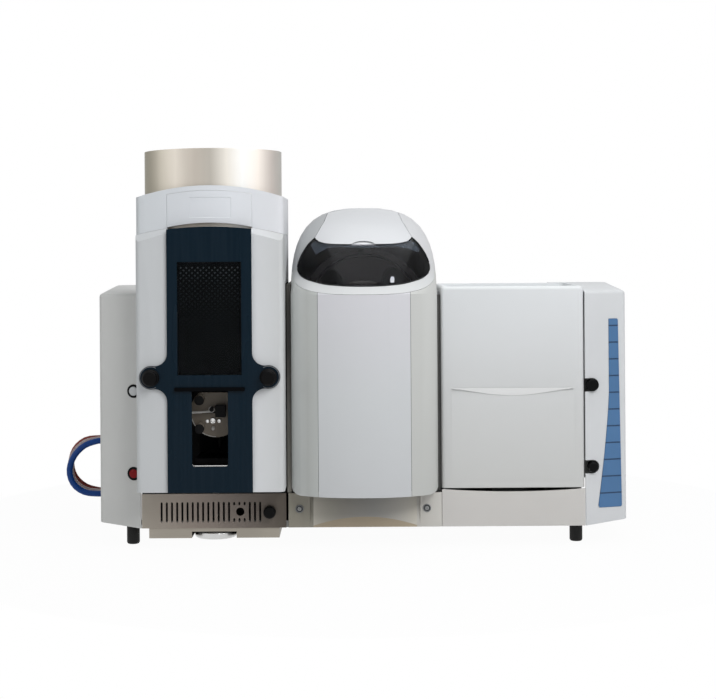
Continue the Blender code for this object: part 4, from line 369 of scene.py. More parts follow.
def build_looks():
    return {
        "housing": moulded("housing_satin", (0.645, 0.655, 0.665), 0.45, 0.975),
        "lid": moulded("lid_gloss", (0.615, 0.625, 0.640), 0.36, 0.985),
        "shell": boxed("flame_box_paint", (0.006, 0.006, 0.006), (0.66, 0.67, 0.68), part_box("flame_box"),
                       0.4745),
        "crown": painted_shading("crown_satin_painted_shading", "X", FLAME - 0.131, FLAME + 0.131, CROWN_PAINTED_SHADING),
        "frame": painted_shading("frame_satin_painted_shading", "X", FLAME - 0.131, FLAME + 0.131, FRAME_PAINTED_SHADING),
        "panel": painted_shading("panel_satin_painted_shading", "Z", 0.08, 0.46, PANEL_PAINTED_SHADING),
        "cheek_left": painted_shading("left_cheek_satin_painted_shading", "X", TOWER - 0.131, TOWER - 0.088, LEFT_CHEEK_PAINTED_SHADING),
        "cheek_right": painted_shading("right_cheek_satin_painted_shading", "Z", 0.08, 0.46, RIGHT_CHEEK_PAINTED_SHADING),
        "cover": painted_shading("cover_satin_painted_shading", "Z", 0.095, 0.475, COVER_PAINTED_SHADING),
        # Painted highlight: the crease ledge is paler than the cover, where light catches it from above.
        "crescent": moulded("crease_painted_highlight", (0.74, 0.74, 0.735), 0.45, 0.98),
        "strip": painted_shading("bay_strip_painted_shading", "Z", 0.0995, 0.474, STRIP_PAINTED_SHADING, rough=0.6),
        # Painted shade: a dim grey for the strip that stands for the shade in the gap beside the furnace
        # cover.
        "gap": moulded("gap_grey_painted_shade", (0.115, 0.115, 0.11), 0.6, 0.9, gloss=0.2),
        # Painted highlight: the hood's lower rim is painted paler, as if lit from above.
        "hood": painted_shading("hood_satin_painted_shading", "X", TOWER - 0.131, TOWER + 0.131, HOOD_PAINTED_SHADING,
                       (0.500, 0.020, (0.64, 0.65, 0.65))),
        "lower": moulded("lower_satin", (0.60, 0.58, 0.555), 0.45, 0.97),
        "kick": scooped("kick_satin_painted_light", KICK_PAINTED_SHADING, (0.41, 0.34, 0.245), (0.56, 0.53, 0.46),
                        TOWER - 0.1375, TOWER + 0.1375, 0.0400, 0.0555, 0.0928),
        "left": moulded("left_cover_satin", (0.60, 0.60, 0.585), 0.45, 0.97),
        "chassis": moulded("chassis_powder_coat", (0.30, 0.30, 0.29), 0.5, 0.93, 0.00005),
        "rubber": moulded("foot_rubber", (0.010, 0.010, 0.010), 0.6, 0.7, 0.00004, gloss=0.25),
        "black": moulded("black_plastic", (0.0025, 0.0025, 0.0027), 0.42, 0.8, gloss=0.09),
        "dark": moulded("blackened_metal", (0.016, 0.014, 0.013), 0.5, 0.8, gloss=0.3),
        "soot": moulded("flame_box_black", (0.004, 0.004, 0.0045), 0.7, 0.8, gloss=0.1),
        "well": moulded("lamp_well_paint", (0.055, 0.045, 0.041), 0.5, 0.8),
        "rotor": moulded("rotor_paint", (0.075, 0.062, 0.057), 0.45, 0.85),
        "silver": brushed("machined_aluminium", (0.66, 0.66, 0.65), 0.30, "X"),
        "screw": brushed("screw_steel", (0.75, 0.75, 0.74), 0.22, "Z", 0.85),
        "bolt": moulded("bolt_steel", (0.30, 0.305, 0.305), 0.4, 0.9, metallic=0.3),
        "graphite": moulded("graphite_head", (0.09, 0.09, 0.095), 0.4, 0.8, metallic=0.6),
        "vent": painted_bands("vent_stainless_painted_shading", FLAME - 0.127, FLAME + 0.127, VENT_PAINTED_SHADING, 0.5, 0.35),
        "pan": brushed("pan_stainless", (0.36, 0.33, 0.285), 0.5, "X"),
        "chimney": painted_bands("chimney_steel_painted_reflections", FLAME - 0.124, FLAME + 0.124, CHIMNEY_PAINTED_REFLECTIONS, 0.42, 0.45,
                          gloss=0.4),
        "navy": streaked("sash_navy", (0.0012, 0.0095, 0.0185), (0.0035, 0.0120, 0.0215), 0.26, 150,
                         gloss=0.10),
        "ledge": moulded("ledge_black", (0.0012, 0.0014, 0.0020), 0.5, 0.8, gloss=0.04),
        "pane": clear("smoked_pane", (0.24, 0.27, 0.29), ior=1.12, gloss=0.3),
        "visor": clear("smoked_visor", (0.40, 0.41, 0.44), ior=1.17),
        "brow": moulded("visor_slate", (0.20, 0.245, 0.28), 0.5, 0.85, gloss=0.2),
        # Painted shade darkens the stripe's grooves.
        "stripe": grooved("stripe_blue", (0.060, 0.163, 0.335), (0.016, 0.055, 0.13), 0.3946, 0.0301, 0.0026),
        "cap": moulded("button_cap", (0.55, 0.56, 0.57), 0.3),
        "red": moulded("stop_cap", (0.24, 0.003, 0.006), 0.3, 0.8, 0.000004, gloss=0.15),
        "lamp": moulded("lamp_black", (0.004, 0.004, 0.0045), 0.5, 0.8, gloss=0.2),
        "hose_blue": moulded("hose_blue_skin", (0.002, 0.055, 0.27), 0.35, 0.8, 0.00001, gloss=0.25),
        "hose_red": moulded("hose_red_skin", (0.26, 0.035, 0.020), 0.35, 0.8, 0.00001, gloss=0.3),
        "hose_clear": moulded("hose_clear_skin", (0.50, 0.40, 0.39), 0.25, 0.9, 0.00001,
                              Transmission_Weight=0.3),
        "beige": moulded("burner_moulding", (0.21, 0.175, 0.135), 0.5, 0.85, 0.00004),
        "bone": moulded("pale_moulding", (0.62, 0.60, 0.57), 0.4, 0.9),
        # Painted glow: the tag glows, though it is no lamp, to stay bright behind the visor.
        "tag": moulded("white_tag_painted_glow", (0.95, 0.95, 0.95), 0.5, 0.99, Emission_Color=(1, 1, 1, 1),
                       Emission_Strength=1.5),
        "lens": moulded("notch_white", (0.93, 0.93, 0.94), 0.3, 0.99),
        "seal": moulded("seal_rubber", (0.008, 0.009, 0.010), 0.55, 0.8, gloss=0.2),
        "line": moulded("seam_grey", (0.22, 0.225, 0.23), 0.5, 0.9),
        # Painted light: the backing seen through the screen's holes is paler towards its top.
        "holes": painted_top_light("screen_backing_painted_light", 0.357, 0.510, (0.010, 0.010, 0.011), (0.42, 0.42, 0.43)),
        "mesh": moulded("screen_black", (0.020, 0.021, 0.023), 0.5, 0.8, gloss=0.2),
    }


LOOKS = build_looks()
DRESS = {
    "chassis": "base_tray furnace_box furnace_stand",
    "rubber": "foot_front_left foot_front_right foot_rear_left foot_rear_right",
    "housing": "rear_housing right_end_cover",
    "left": "left_end_cover",
    "black": "mains_inlet fan_grille power_button_bezel stop_button_bezel upper_adjuster_knob "
             "lower_adjuster_knob hose_port_plate burner_turn_knob spray_chamber nebuliser left_latch_knob "
             "right_latch_knob",
    "dark": "monochromator",
    "silver": "power_supply burner_height_wheel burner_head",
    "cap": "power_button",
    "red": "stop_button",
    "stripe": "side_stripe",
    "shell": "flame_box",
    "chimney": "chimney",
    "frame": "flame_front_frame",
    "crown": "chimney_crown crown_fascia",
    "vent": "vent_plate",
    "soot": "burner_carriage",
    "beige": "chamber_end_plate",
    "pane": "sash_window",
    "cheek_left": "tower_cheek_left",
    "cheek_right": "tower_cheek_right",
    "panel": "tower_front_panel",
    "well": "lamp_bay",
    "rotor": "lamp_carousel",
    "lamp": "hollow_cathode_lamp_1 hollow_cathode_lamp_2 hollow_cathode_lamp_3 hollow_cathode_lamp_4",
    "kick": "kick_panel",
    "cover": "furnace_cover",
    "lower": "furnace_lower_panel",
    "graphite": "graphite_furnace",
}
SOFT_EDGES = {
    0.0012: "flame_front_frame chimney_crown furnace_cover",
    0.001: "left_end_cover right_end_cover",
    0.0008: "rear_housing",
    0.0006: "furnace_lower_panel tower_front_panel tower_cheek_left tower_cheek_right tower_hood "
            "lamp_lid_cap burner_height_wheel burner_head chamber_end_plate",
    0.0005: "lamp_visor",
    0.0003: "vent_plate side_stripe",
    0.0002: "thumb_tongue visor_brow",
}
DEFAULT_EDGE = 0.0004
EDGE_OF = {node: width for width, nodes in SOFT_EDGES.items() for node in nodes.split()}


# Mesh helpers

def show(name, mesh, look, body, replaced=()):
    piece = bpy.data.objects.new(name, mesh)
    SCENE.collection.objects.link(piece)
    mesh.materials.clear()
    mesh.materials.append(LOOKS[look])
    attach(piece, body)
    for node in replaced:
        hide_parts(node)
    return piece


def from_bmesh(name, shape, sharp=34):
    shape.normal_update()
    for face in shape.faces:
        face.smooth = True
    for edge in shape.edges:
        edge.smooth = edge.calc_face_angle(math.pi) < math.radians(sharp)
    mesh = bpy.data.meshes.new(name)
    shape.to_mesh(mesh)
    shape.free()
    return mesh


def clean_copy(node):
    """The node's mesh with split corners joined and flat facets dissolved, smooth where it curves."""
    shape = bmesh.new()
    shape.from_mesh(NODES[node].data)
    bmesh.ops.remove_doubles(shape, verts=shape.verts, dist=0.00002)
    bmesh.ops.dissolve_limit(shape, angle_limit=math.radians(0.4), verts=shape.verts, edges=shape.edges)
    return from_bmesh(node + "_form", shape)


def bevelled(piece, width, segments=2, angle=36):
    edge = piece.modifiers.new("Edges", "BEVEL")
    edge.width = width
    edge.segments = segments
    edge.limit_method = "ANGLE"
    edge.angle_limit = math.radians(angle)
    edge.harden_normals = True
    edge.use_clamp_overlap = True
    return piece


def trim(name, shape, look, body, width, segments=2):
    return bevelled(show(name, from_bmesh(name, shape), look, body), width, segments)


def skin(rings, capped=True):
    """A closed bmesh over rings of as many points each."""
    shape = bmesh.new()
    rows = [[shape.verts.new(point) for point in ring] for ring in rings]
    count = len(rows[0])
    for a, b in zip(rows, rows[1:]):
        for i in range(count):
            j = (i + 1) % count
            shape.faces.new((a[i], a[j], b[j], b[i]))
    if capped:
        shape.faces.new(rows[0][::-1])
        shape.faces.new(rows[-1])
    bmesh.ops.recalc_face_normals(shape, faces=shape.faces)
    return shape


def prism(outline, front, back):
    """A closed bmesh with that (x, z) outline, from one y to the other."""
    return skin([[(x, y, z) for x, z in outline] for y in (front, back)])


def ring_of(cx, cz, radius, sides=24):
    return [(cx + radius * math.cos(math.tau * i / sides), cz + radius * math.sin(math.tau * i / sides))
            for i in range(sides)]


def arc_points(cx, cz, radius, start, end, steps):
    angles = [math.radians(start + (end - start) * i / steps) for i in range(steps + 1)]
    return [(cx + radius * math.cos(a), cz + radius * math.sin(a)) for a in angles]


def turned(centre, profile, sides=28):
    """A closed lathe form about the front-to-back line through centre; profile holds (radius, y) pairs."""
    rings = [[(x, y, z) for x, z in ring_of(*centre, radius, sides)] for radius, y in profile]
    shape = skin(rings, capped=False)
    bmesh.ops.remove_doubles(shape, verts=shape.verts, dist=1e-7)
    bmesh.ops.recalc_face_normals(shape, faces=shape.faces)
    return shape


def wire(name, lines, radius, look, body, closed=False):
    """Round beads along open or closed lines."""
    curve = bpy.data.curves.new(name, "CURVE")
    curve.dimensions = "3D"
    curve.bevel_depth = radius
    curve.bevel_resolution = 3
    curve.use_fill_caps = True
    for points in lines:
        line = curve.splines.new("POLY")
        line.points.add(len(points) - 1)
        for point, co in zip(line.points, points):
            point.co = (*co, 1)
        line.use_cyclic_u = closed
    curve.materials.append(LOOKS[look])
    piece = bpy.data.objects.new(name, curve)
    SCENE.collection.objects.link(piece)
    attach(piece, body)


def tree_of(node):
    shape = bmesh.new()
    shape.from_mesh(NODES[node].data)
    made = BVHTree.FromBMesh(shape)
    shape.free()
    return made


def on_front(tree, x, z):
    """The point of a node's front, straight behind (x, z)."""
    return tree.ray_cast(Vector((x, -1.0, z)), Vector((0, 1, 0)))[0]


def solved(name, mesh, steps, sharp=34):
    """The mesh after boolean steps, each an operation and a closed mesh."""
    holder = bpy.data.objects.new("work_" + name, mesh)
    SCENE.collection.objects.link(holder)
    tools = []
    for operation, other in steps:
        tool = bpy.data.objects.new("tool_" + name, other)
        SCENE.collection.objects.link(tool)
        tools.append(tool)
        change = holder.modifiers.new("change", "BOOLEAN")
        change.operation = operation
        change.object = tool
        change.solver = "EXACT"
    shape = bmesh.new()
    shape.from_object(holder, bpy.context.evaluated_depsgraph_get())
    for temporary in [holder] + tools:
        bpy.data.objects.remove(temporary)
    bmesh.ops.remove_doubles(shape, verts=shape.verts, dist=0.00001)
    bmesh.ops.dissolve_degenerate(shape, edges=shape.edges, dist=0.00001)
    return from_bmesh(name, shape, sharp)


def plain(name, shape):
    mesh = bpy.data.meshes.new(name)
    shape.to_mesh(mesh)
    shape.free()
    return mesh


def block(low, high):
    shape = bmesh.new()
    bmesh.ops.create_cube(shape, size=1)
    middle = [(a + b) / 2 for a, b in zip(low, high)]
    size = [b - a for a, b in zip(low, high)]
    shape.transform(Matrix.Translation(middle) @ Matrix.Diagonal((*size, 1)))
    return shape


# Hoses

HOSE_TURN = math.atan2(0.052, 0.518)
HOSE_AT = Vector((-0.49990, 0.042, 0))
HOSE_FACE = -0.0096
HOSE_ROUTE = ((0, 0.1620), (-0.0270, 0.1555), (-0.0480, 0.1350), (-0.0560, 0.1060), (-0.0480, 0.0790),
              (-0.0270, 0.0625), (0, 0.0585))


def smooth_curve(before, points, after, step):
    """Points at an even step along a Catmull-Rom curve that runs on from one point to another."""
    ends = [before] + points + [after]
    fine = []
    for a, b, c, d in zip(ends, ends[1:], ends[2:], ends[3:]):
        for i in range(24):
            t = i / 24
            fine.append(0.5 * (2 * b + (c - a) * t + (2 * a - 5 * b + 4 * c - d) * t ** 2
                               + (3 * b - a - 3 * c + d) * t ** 3))
    fine.append(points[-1])
    lengths = [0.0]
    for a, b in zip(fine, fine[1:]):
        lengths.append(lengths[-1] + (b - a).length)
    count = max(2, round(lengths[-1] / step))
    even = []
    for i in range(count + 1):
        goal = lengths[-1] * i / count
        j = max(k for k, length in enumerate(lengths) if length <= goal + 1e-12)
        j = min(j, len(fine) - 2)
        span = lengths[j + 1] - lengths[j]
        even.append(fine[j].lerp(fine[j + 1], (goal - lengths[j]) / span if span else 0))
    return even


def hose_points(row):
    y = row * 0.020
    lift = (0, 0.55, 1, 1, 1, 0.6, 0)
    bend = [Vector((HOSE_FACE - 0.010 + x, y, z + share * (0.0015 + 0.0050 * row)))
            for (x, z), share in zip(HOSE_ROUTE, lift if row > -1 else (0, 0.7, 1, 0.6, 0.3, 0.1, 0))]
    first, last = Vector((HOSE_FACE, y, 0.1620)), Vector((HOSE_FACE, y, 0.0585))
    route = [first] + smooth_curve(first, bend, last, 0.0095) + [last]
    spin = Matrix.Rotation(HOSE_TURN, 3, "Z")
    return [HOSE_AT + spin @ point for point in route]


def tube_mesh(name, route, radius, sides=24):
    """A capped round tube whose rings stand square to the route."""
    side = Vector((-math.sin(HOSE_TURN), math.cos(HOSE_TURN), 0))
    rings = []
    for i, point in enumerate(route):
        ahead = (route[min(i + 1, len(route) - 1)] - route[max(i - 1, 0)]).normalized()
        up = ahead.cross(side).normalized()
        turns = [math.tau * k / sides for k in range(sides)]
        rings.append([point + radius * (side * math.cos(a) + up * math.sin(a)) for a in turns])
    return from_bmesh(name, skin(rings), 50)


def build_hoses():
    for row, name in ((-1, "hose_blue"), (0, "hose_clear"), (1, "hose_red")):
        route = hose_points(row)
        piece = show(name + "_tube", tube_mesh(name + "_tube", route, 0.006), name, BODY_OF[name], [name])


# Dressing the CAD nodes

def dress():
    for look, nodes in DRESS.items():
        for node in nodes.split():
            piece = show(node + "_shell", clean_copy(node), look, BODY_OF[node], [node])
            bevelled(piece, EDGE_OF.get(node, DEFAULT_EDGE))


# Tower dome, visor and cap

HALF = 0.1313
BULGE = 0.061
DEEP = 0.360
RIM_BASE = 0.456
RIM_SIDE = 0.495
RIM_HALF = HALF - 0.0038
DOME_RISE = 0.1585
DOME_RUN = 0.351
HINGE = (0, 0.210, 0.6108)
LEVEL_SHARES = (0, 0.09, 0.20, 0.32, 0.44, 0.55, 0.66, 0.76, 0.85, 0.92, 0.97, 0.994)
RUN_SHARES = (0, 0.031, 0.062, 0.102, 0.150, 0.205, 0.275, 0.355, 0.455, 0.575, 0.720, 0.860)
DOME_POWER = 2.95
# Half outline of the lid, as (distance from the middle, distance from the hinge)
LID_SIDE = (
    (0.0668, 0.0012), (0.0700, 0.0600), (0.0722, 0.0970), (0.0795, 0.1328), (0.0865, 0.1585),
    (0.0892, 0.1665), (0.0938, 0.1715), (0.0990, 0.1775), (0.1072, 0.1900), (0.1140, 0.2030),
    (0.1182, 0.2140), (0.1198, 0.2230), (0.1194, 0.2320), (0.1160, 0.2435), (0.1108, 0.2530),
    (0.1042, 0.2610), (0.0975, 0.2672), (0.0890, 0.2733), (0.0800, 0.2790), (0.0706, 0.2838),
    (0.0600, 0.2878), (0.0488, 0.2908), (0.0370, 0.2934), (0.0244, 0.2952), (0.0122, 0.2962), (0, 0.2965))
CAP_EDGE = (
    (0.0905, 0.5600), (0.0893, 0.5562), (0.0868, 0.5528), (0.0833, 0.5502), (0.0775, 0.5480),
    (0.0701, 0.5461), (0.0610, 0.5450), (0.0514, 0.5443), (0.0380, 0.5440), (0.0225, 0.5438), (0, 0.5437))
BROW = (
    (-0.099, 0.5490), (-0.096, 0.5430), (-0.0856, 0.5248), (-0.0785, 0.5294), (-0.0640, 0.5372),
    (-0.0370, 0.5392), (0, 0.5370), (0.0370, 0.5385), (0.0610, 0.5384), (0.0790, 0.5352),
    (0.0990, 0.5280), (0.1020, 0.5340), (0.0940, 0.5480), (0.0870, 0.5560))


def dome_ring(height, share, run, inset):
    narrow = (1 - share ** DOME_POWER) ** (1 / DOME_POWER)
    half = (HALF - inset) * narrow
    front = -BULGE + inset + DOME_RUN * run
    back = DEEP - inset - 0.050 * (1 - (1 - share ** 4) ** 0.25)
    bulge = BULGE * (1 + 0.5 * share) - inset / 2
    shoulder = min(front + bulge, back - bulge / 2)
    bulge = shoulder - front
    power = 2 + 0.3 * share
    points = []
    for i in range(37):
        a = math.pi * i / 36
        c, s = math.cos(a), math.sin(a)
        across = half * math.copysign(abs(c) ** (2 / power), c)
        points.append((-across, shoulder - bulge * abs(s) ** (2 / power), height))
    corner = min(half / 3, 0.018)
    for centre, start in ((half - corner, 0), (corner - half, 90)):
        for i in range(6):
            a = math.radians(start + 18 * i)
            points.append((centre + corner * math.cos(a), back - corner + corner * math.sin(a), height))
    return points


def dome(inset):
    low = 0.0991 if inset == 0 else 0.0785
    rings = [dome_ring(low, 0, 0, inset)]
    for share, run in zip(LEVEL_SHARES, RUN_SHARES):
        rings.append(dome_ring(RIM_BASE + share * (DOME_RISE - inset), share, run, inset))
    return plain("dome", skin(rings))


def lid_sweep(gap):
    """The lid's outline swept about its hinge, so that its seams are circles round the hinge."""
    half = []
    for i, (x, r) in enumerate(LID_SIDE):
        before, after = LID_SIDE[max(0, i - 1)], LID_SIDE[min(i + 1, len(LID_SIDE) - 1)]
        along = Vector((after[0] - before[0], after[1] - before[1])).normalized()
        if i == len(LID_SIDE) - 1:
            along = Vector((-1, 0))
        half.append((x - gap * along.y, r + gap * along.x))
    both = half + [(-x, r) for x, r in reversed(half[:-1])]
    rings = []
    for i in range(25):
        a = math.radians(-20 + 77.5 * i / 24)
        rings.append([(x, HINGE[1] - r * math.cos(a), HINGE[2] - r * math.sin(a)) for x, r in both])
    return plain("lid_sweep", skin(rings))


def rim_line():
    points = []
    for i in range(49):
        a = math.pi * i / 48
        c = math.cos(a)
        points.append((RIM_HALF * math.copysign(abs(c) ** (2 / 3), c),
                       RIM_SIDE - (RIM_SIDE - RIM_BASE) * math.sin(a) ** (2 / 3)))
    return points


def build_tower_top():
    wide = HALF + 0.02
    front = -BULGE - 0.02
    below = rim_line() + [(-wide, RIM_SIDE), (-wide, 0.0785), (wide, 0.0785), (wide, RIM_SIDE)]
    crest = RIM_BASE + DOME_RISE + 0.02
    cap_edge = list(CAP_EDGE) + [(-x, z) for x, z in reversed(CAP_EDGE[:-1])]
    zone = cap_edge + [(-0.0925, crest), (0.0925, crest)]
    lifted = [(x, z + 0.0006) for x, z in zone]
    angles = [math.pi * i / 24 for i in range(25)]
    thumb = [(0.0215 * math.cos(a), 0.5420 + 0.0078 * math.sin(a)) for a in angles]
    inset = [(x * 1.04, z - 0.0010) for x, z in thumb]

    def cutter(outline, back):
        return plain("cutter", prism(outline, front, back))

    def shell(name, outer, inner, *steps):
        return solved(name, dome(outer), [("DIFFERENCE", dome(inner)), *steps])

    behind = plain("behind", block((-wide, 0.185, 0.0785), (wide, DEEP + 0.02, 0.4553)))
    hood = shell("tower_hood_form", 0, 0.003, ("DIFFERENCE", cutter(below, 0.205)), ("DIFFERENCE", behind),
                 ("DIFFERENCE", lid_sweep(0)))
    visor = shell("lamp_visor_form", 0, 0.003, ("INTERSECT", lid_sweep(0.0008)),
                  ("DIFFERENCE", cutter(zone, DEEP)))
    cap = shell("lamp_lid_form", 0, 0.003, ("INTERSECT", lid_sweep(0.0008)),
                ("INTERSECT", cutter(lifted, DEEP)), ("DIFFERENCE", cutter(thumb, 0.05)))
    tongue = shell("thumb_tongue_form", 0.0032, 0.0045, ("INTERSECT", cutter(inset, 0.05)))
    brow = shell("visor_brow_form", 0.0046, 0.0056, ("INTERSECT", lid_sweep(0.0016)),
                 ("INTERSECT", cutter(BROW, 0.10)))
    move = Matrix.Translation((TOWER, KICK_Y, 0))
    for mesh in (hood, visor, cap, tongue, brow):
        mesh.transform(move)
    for name, mesh, look, body, node in (
            ("tower_hood_shell", hood, "hood", "chassis", "tower_hood"),
            ("lamp_visor_shell", visor, "visor", "lamp_lid", "lamp_visor"),
            ("lamp_lid_cap_shell", cap, "lid", "lamp_lid", "lamp_lid_cap"),
            ("thumb_tongue", tongue, "lens", "lamp_lid", None),
            ("visor_brow", brow, "brow", "lamp_lid", None)):
        piece = show(name, mesh, look, body, [node] if node else [])
        bevelled(piece, EDGE_OF[node or name], angle=45)
    return visor


# Window screen

def filled(outer, holes, front, back):
    """A bmesh of a flat sheet facing the front, with round holes through it."""
    curve = bpy.data.curves.new("outline", "CURVE")
    curve.dimensions = "2D"
    curve.fill_mode = "BOTH"
    curve.extrude = (back - front) / 2
    for ring in [outer] + holes:
        line = curve.splines.new("POLY")
        line.points.add(len(ring) - 1)
        for point, (x, z) in zip(line.points, ring):
            point.co = (x, z, 0, 1)
        line.use_cyclic_u = True
    holder = bpy.data.objects.new("outline", curve)
    SCENE.collection.objects.link(holder)
    shape = bmesh.new()
    shape.from_mesh(holder.to_mesh())
    holder.to_mesh_clear()
    bpy.data.objects.remove(holder)
    bpy.data.curves.remove(curve)
    shape.transform(Matrix.Translation((0, (front + back) / 2, 0)) @ Matrix.Rotation(math.pi / 2, 4, "X"))
    bmesh.ops.remove_doubles(shape, verts=shape.verts, dist=0.00001)
    return shape


def build_screen():
    low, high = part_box("sash_screen")
    middle = (low[0] + high[0]) / 2
    pitch, rows, step, top, hole = 0.0100, 33, 0.00455, 0.5050, 0.0017
    holes = []
    for row in range(rows):
        count = 11 - row % 2
        for i in range(count):
            holes.append(ring_of(middle + (i - (count - 1) / 2) * pitch, top - row * step, hole, 10))

    def border(inset):
        left, right, base, crest = low[0] + inset, high[0] - inset, low[2] + inset, high[2] - inset
        return [(left, base), (right, base), (right, crest), (left, crest)]

    back = low[1] + (high[1] - low[1]) * 0.45
    sheet = from_bmesh("sash_screen_sheet", filled(border(0), holes, low[1], back), 30)
    show("sash_screen_sheet", sheet, "mesh", "sash", ["sash_screen"])
    backing = from_bmesh("sash_screen_backing", prism(border(0.002), back, high[1]))
    show("sash_screen_backing", backing, "holes", "sash")


# Burner compartment seen through the sash

def build_burner_details():
    """Screws, plugs, studs and the sample tube, placed from the middle of the end plate."""
    body = BODY_OF["chamber_end_plate"]
    low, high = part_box("chamber_end_plate")
    tree = tree_of("chamber_end_plate")
    middle = (low[0] + high[0]) / 2
    level = low[2] + 0.046
    face = on_front(tree, middle, 0.215).y
    sunk = -0.0008

    def boss(name, x, z, profile, look, seat=0.0):
        shape = turned((middle + x, level + z), [(r, face - seat - out) for r, out in profile])
        show(name, from_bmesh(name, shape), look, body)

    for name, x, z, r in (("end_screw_large", -0.0055, -0.0156, 0.0053),
                          ("end_screw_left", -0.0152, -0.0166, 0.0034),
                          ("end_screw_right", 0.0055, -0.0162, 0.0034)):
        boss(name, x, z, ((0, sunk), (r, sunk), (r, r * 0.45), (r * 0.78, r * 0.62), (r * 0.62, r * 0.62),
                          (r * 0.50, r * 0.30), (0, r * 0.30)), "screw")
    plug = 0.0086
    for name, z in (("upper_plug", 0.0212), ("lower_plug", -0.0295)):
        seat = face - on_front(tree, middle - 0.0290, level + z).y
        boss(name, -0.0290, z, ((0, sunk), (plug, sunk), (plug, 0.0006), (plug * 0.9, 0.0012), (0, 0.0012)),
             "lamp", seat)
    boss("drain_stud", -0.0052, -0.0296, ((0, sunk), (0.0036, sunk), (0.0036, 0.0028), (0.0028, 0.0042),
                                          (0.0014, 0.0050), (0, 0.0052)), "bone")
    stub = (-0.0068, 0.0052)
    boss("impact_stub", *stub, ((0, sunk), (0.0042, sunk), (0.0042, 0.0125), (0.0030, 0.0135), (0, 0.0135)),
         "black")
    for name, centre, radius, start, end, steps, out, bead in (
            ("stub_circlip", stub, 0.0046, 100, 390, 24, 0.0110, 0.0009),
            ("end_plate_rim", (0, 0), 0.0448, 196, 270, 28, 0.0002, 0.0007)):
        line = arc_points(middle + centre[0], level + centre[1], radius, start, end, steps)
        wire(name, [[(x, face - out, z) for x, z in line]], bead, "bone", body)
    pipe_low, pipe_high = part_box("nebuliser")
    y = (pipe_low[1] + pipe_high[1]) / 2
    tube = [(middle - 0.0520 + 0.044 * i / 12, y, level - 0.0008 + 0.0020 * i / 12) for i in range(13)]
    wire("uptake_sleeve", [tube], 0.0021, "bone", body)
    nut = turned((0, 0), [(0, -0.0042), (0.0056, -0.0042), (0.0062, -0.0030), (0.0062, 0.0030),
                          (0.0056, 0.0042), (0, 0.0042)], 6)
    place = Matrix.Translation((middle - 0.0480, y, level - 0.0005))
    nut.transform(place @ Matrix.Rotation(math.pi / 2, 4, "Z"))
    show("uptake_nut", from_bmesh("uptake_nut", nut), "bone", body)


# Sash

SASH_HALF = 0.0745
EAR_X = 0.103
EAR_Z = 0.313
EAR_RADIUS = 0.0205
EAR_FILLET = 0.0225


def sash_outline(low, top):
    lean = EAR_X - SASH_HALF - EAR_FILLET
    rise = math.sqrt((EAR_FILLET + EAR_RADIUS) ** 2 - lean ** 2)
    toward = math.degrees(math.atan2(rise, lean))
    fillet = SASH_HALF + EAR_FILLET
    right = [(SASH_HALF, low)]
    right += arc_points(fillet, EAR_Z - rise, EAR_FILLET, 180, toward, 14)
    right += arc_points(EAR_X, EAR_Z, EAR_RADIUS, toward - 180, 180 - toward, 40)[1:-1]
    right += arc_points(fillet, EAR_Z + rise, EAR_FILLET, -toward, -180, 14)
    right += [(SASH_HALF * (1 - i / 16), top - 0.0045 * (1 - i / 16) ** 2) for i in range(17)]
    return right + [(-x, z) for x, z in reversed(right) if x > 0]


def build_sash():
    """The sash with its window and cut-out, its ledge, runners, drip lip and ear beads."""
    low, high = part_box("flame_sash")
    pane_low, pane_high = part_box("sash_window")
    centre = (low[0] + high[0]) / 2
    face = on_front(tree_of("flame_sash"), centre, 0.300).y
    back = face + 0.005
    reach = 0.02
    gap = 0.0003
    corner, half = 0.006, 0.0315
    window = block((pane_low[0] - gap - centre, face - reach, pane_low[2] - gap),
                   (pane_high[0] + gap - centre, face + reach, pane_high[2] + gap))
    cutout = arc_points(half - corner, 0.156 + corner, corner, -90, 0, 8) + [(half, 0.2895), (-half, 0.2895)]
    cutout += arc_points(corner - half, 0.156 + corner, corner, 180, 270, 8)
    outlines = [cutout] + [ring_of(side * EAR_X, EAR_Z, 0.0040) for side in (-1, 1)]
    cuts = [window] + [prism(outline, face - reach, face + reach) for outline in outlines]
    plate = plain("sash_plate", prism(sash_outline(low[2], high[2]), face, back))
    mesh = solved("flame_sash_form", plate, [("DIFFERENCE", plain("cut", shape)) for shape in cuts])
    mesh.transform(Matrix.Translation((centre, 0, 0)))
    bevelled(show("flame_sash_shell", mesh, "navy", "sash", ["flame_sash"]), 0.0008, 3)
    ledge = block((centre - 0.0615, face - 0.0056, 0.2892), (centre + 0.0615, face + 0.001, 0.2958))
    trim("sash_ledge", ledge, "ledge", "sash", 0.0012, 3)
    lip = ((-0.0300, 0.1566), (0.0308, 0.1566), (0.0312, 0.1582), (0.0300, 0.1584), (-0.0292, 0.1584),
           (-0.0312, 0.1606), (-0.0312, 0.1582))
    lip = [(centre + x, z) for x, z in lip]
    trim("cutout_drip_lip", prism(lip, back + 0.0002, back + 0.0020), "screw", "sash", 0.0003)
    bead = arc_points(EAR_X, EAR_Z, 0.0190, -118, 118, 40)
    for name, side in (("left", -1), ("right", 1)):
        ends = sorted((centre + side * 0.0705, centre + side * 0.0732))
        rail = block((ends[0], back - 0.0005, 0.127), (ends[1], back + 0.008, 0.548))
        trim(f"sash_rail_{name}", rail, "navy", "sash", 0.0004)
        rim = [(centre + side * x, face - 0.0001, z) for x, z in bead]
        wire(f"{name}_ear_bead", [rim], 0.0005, "line", "sash")


# Lamp bay seen through the visor

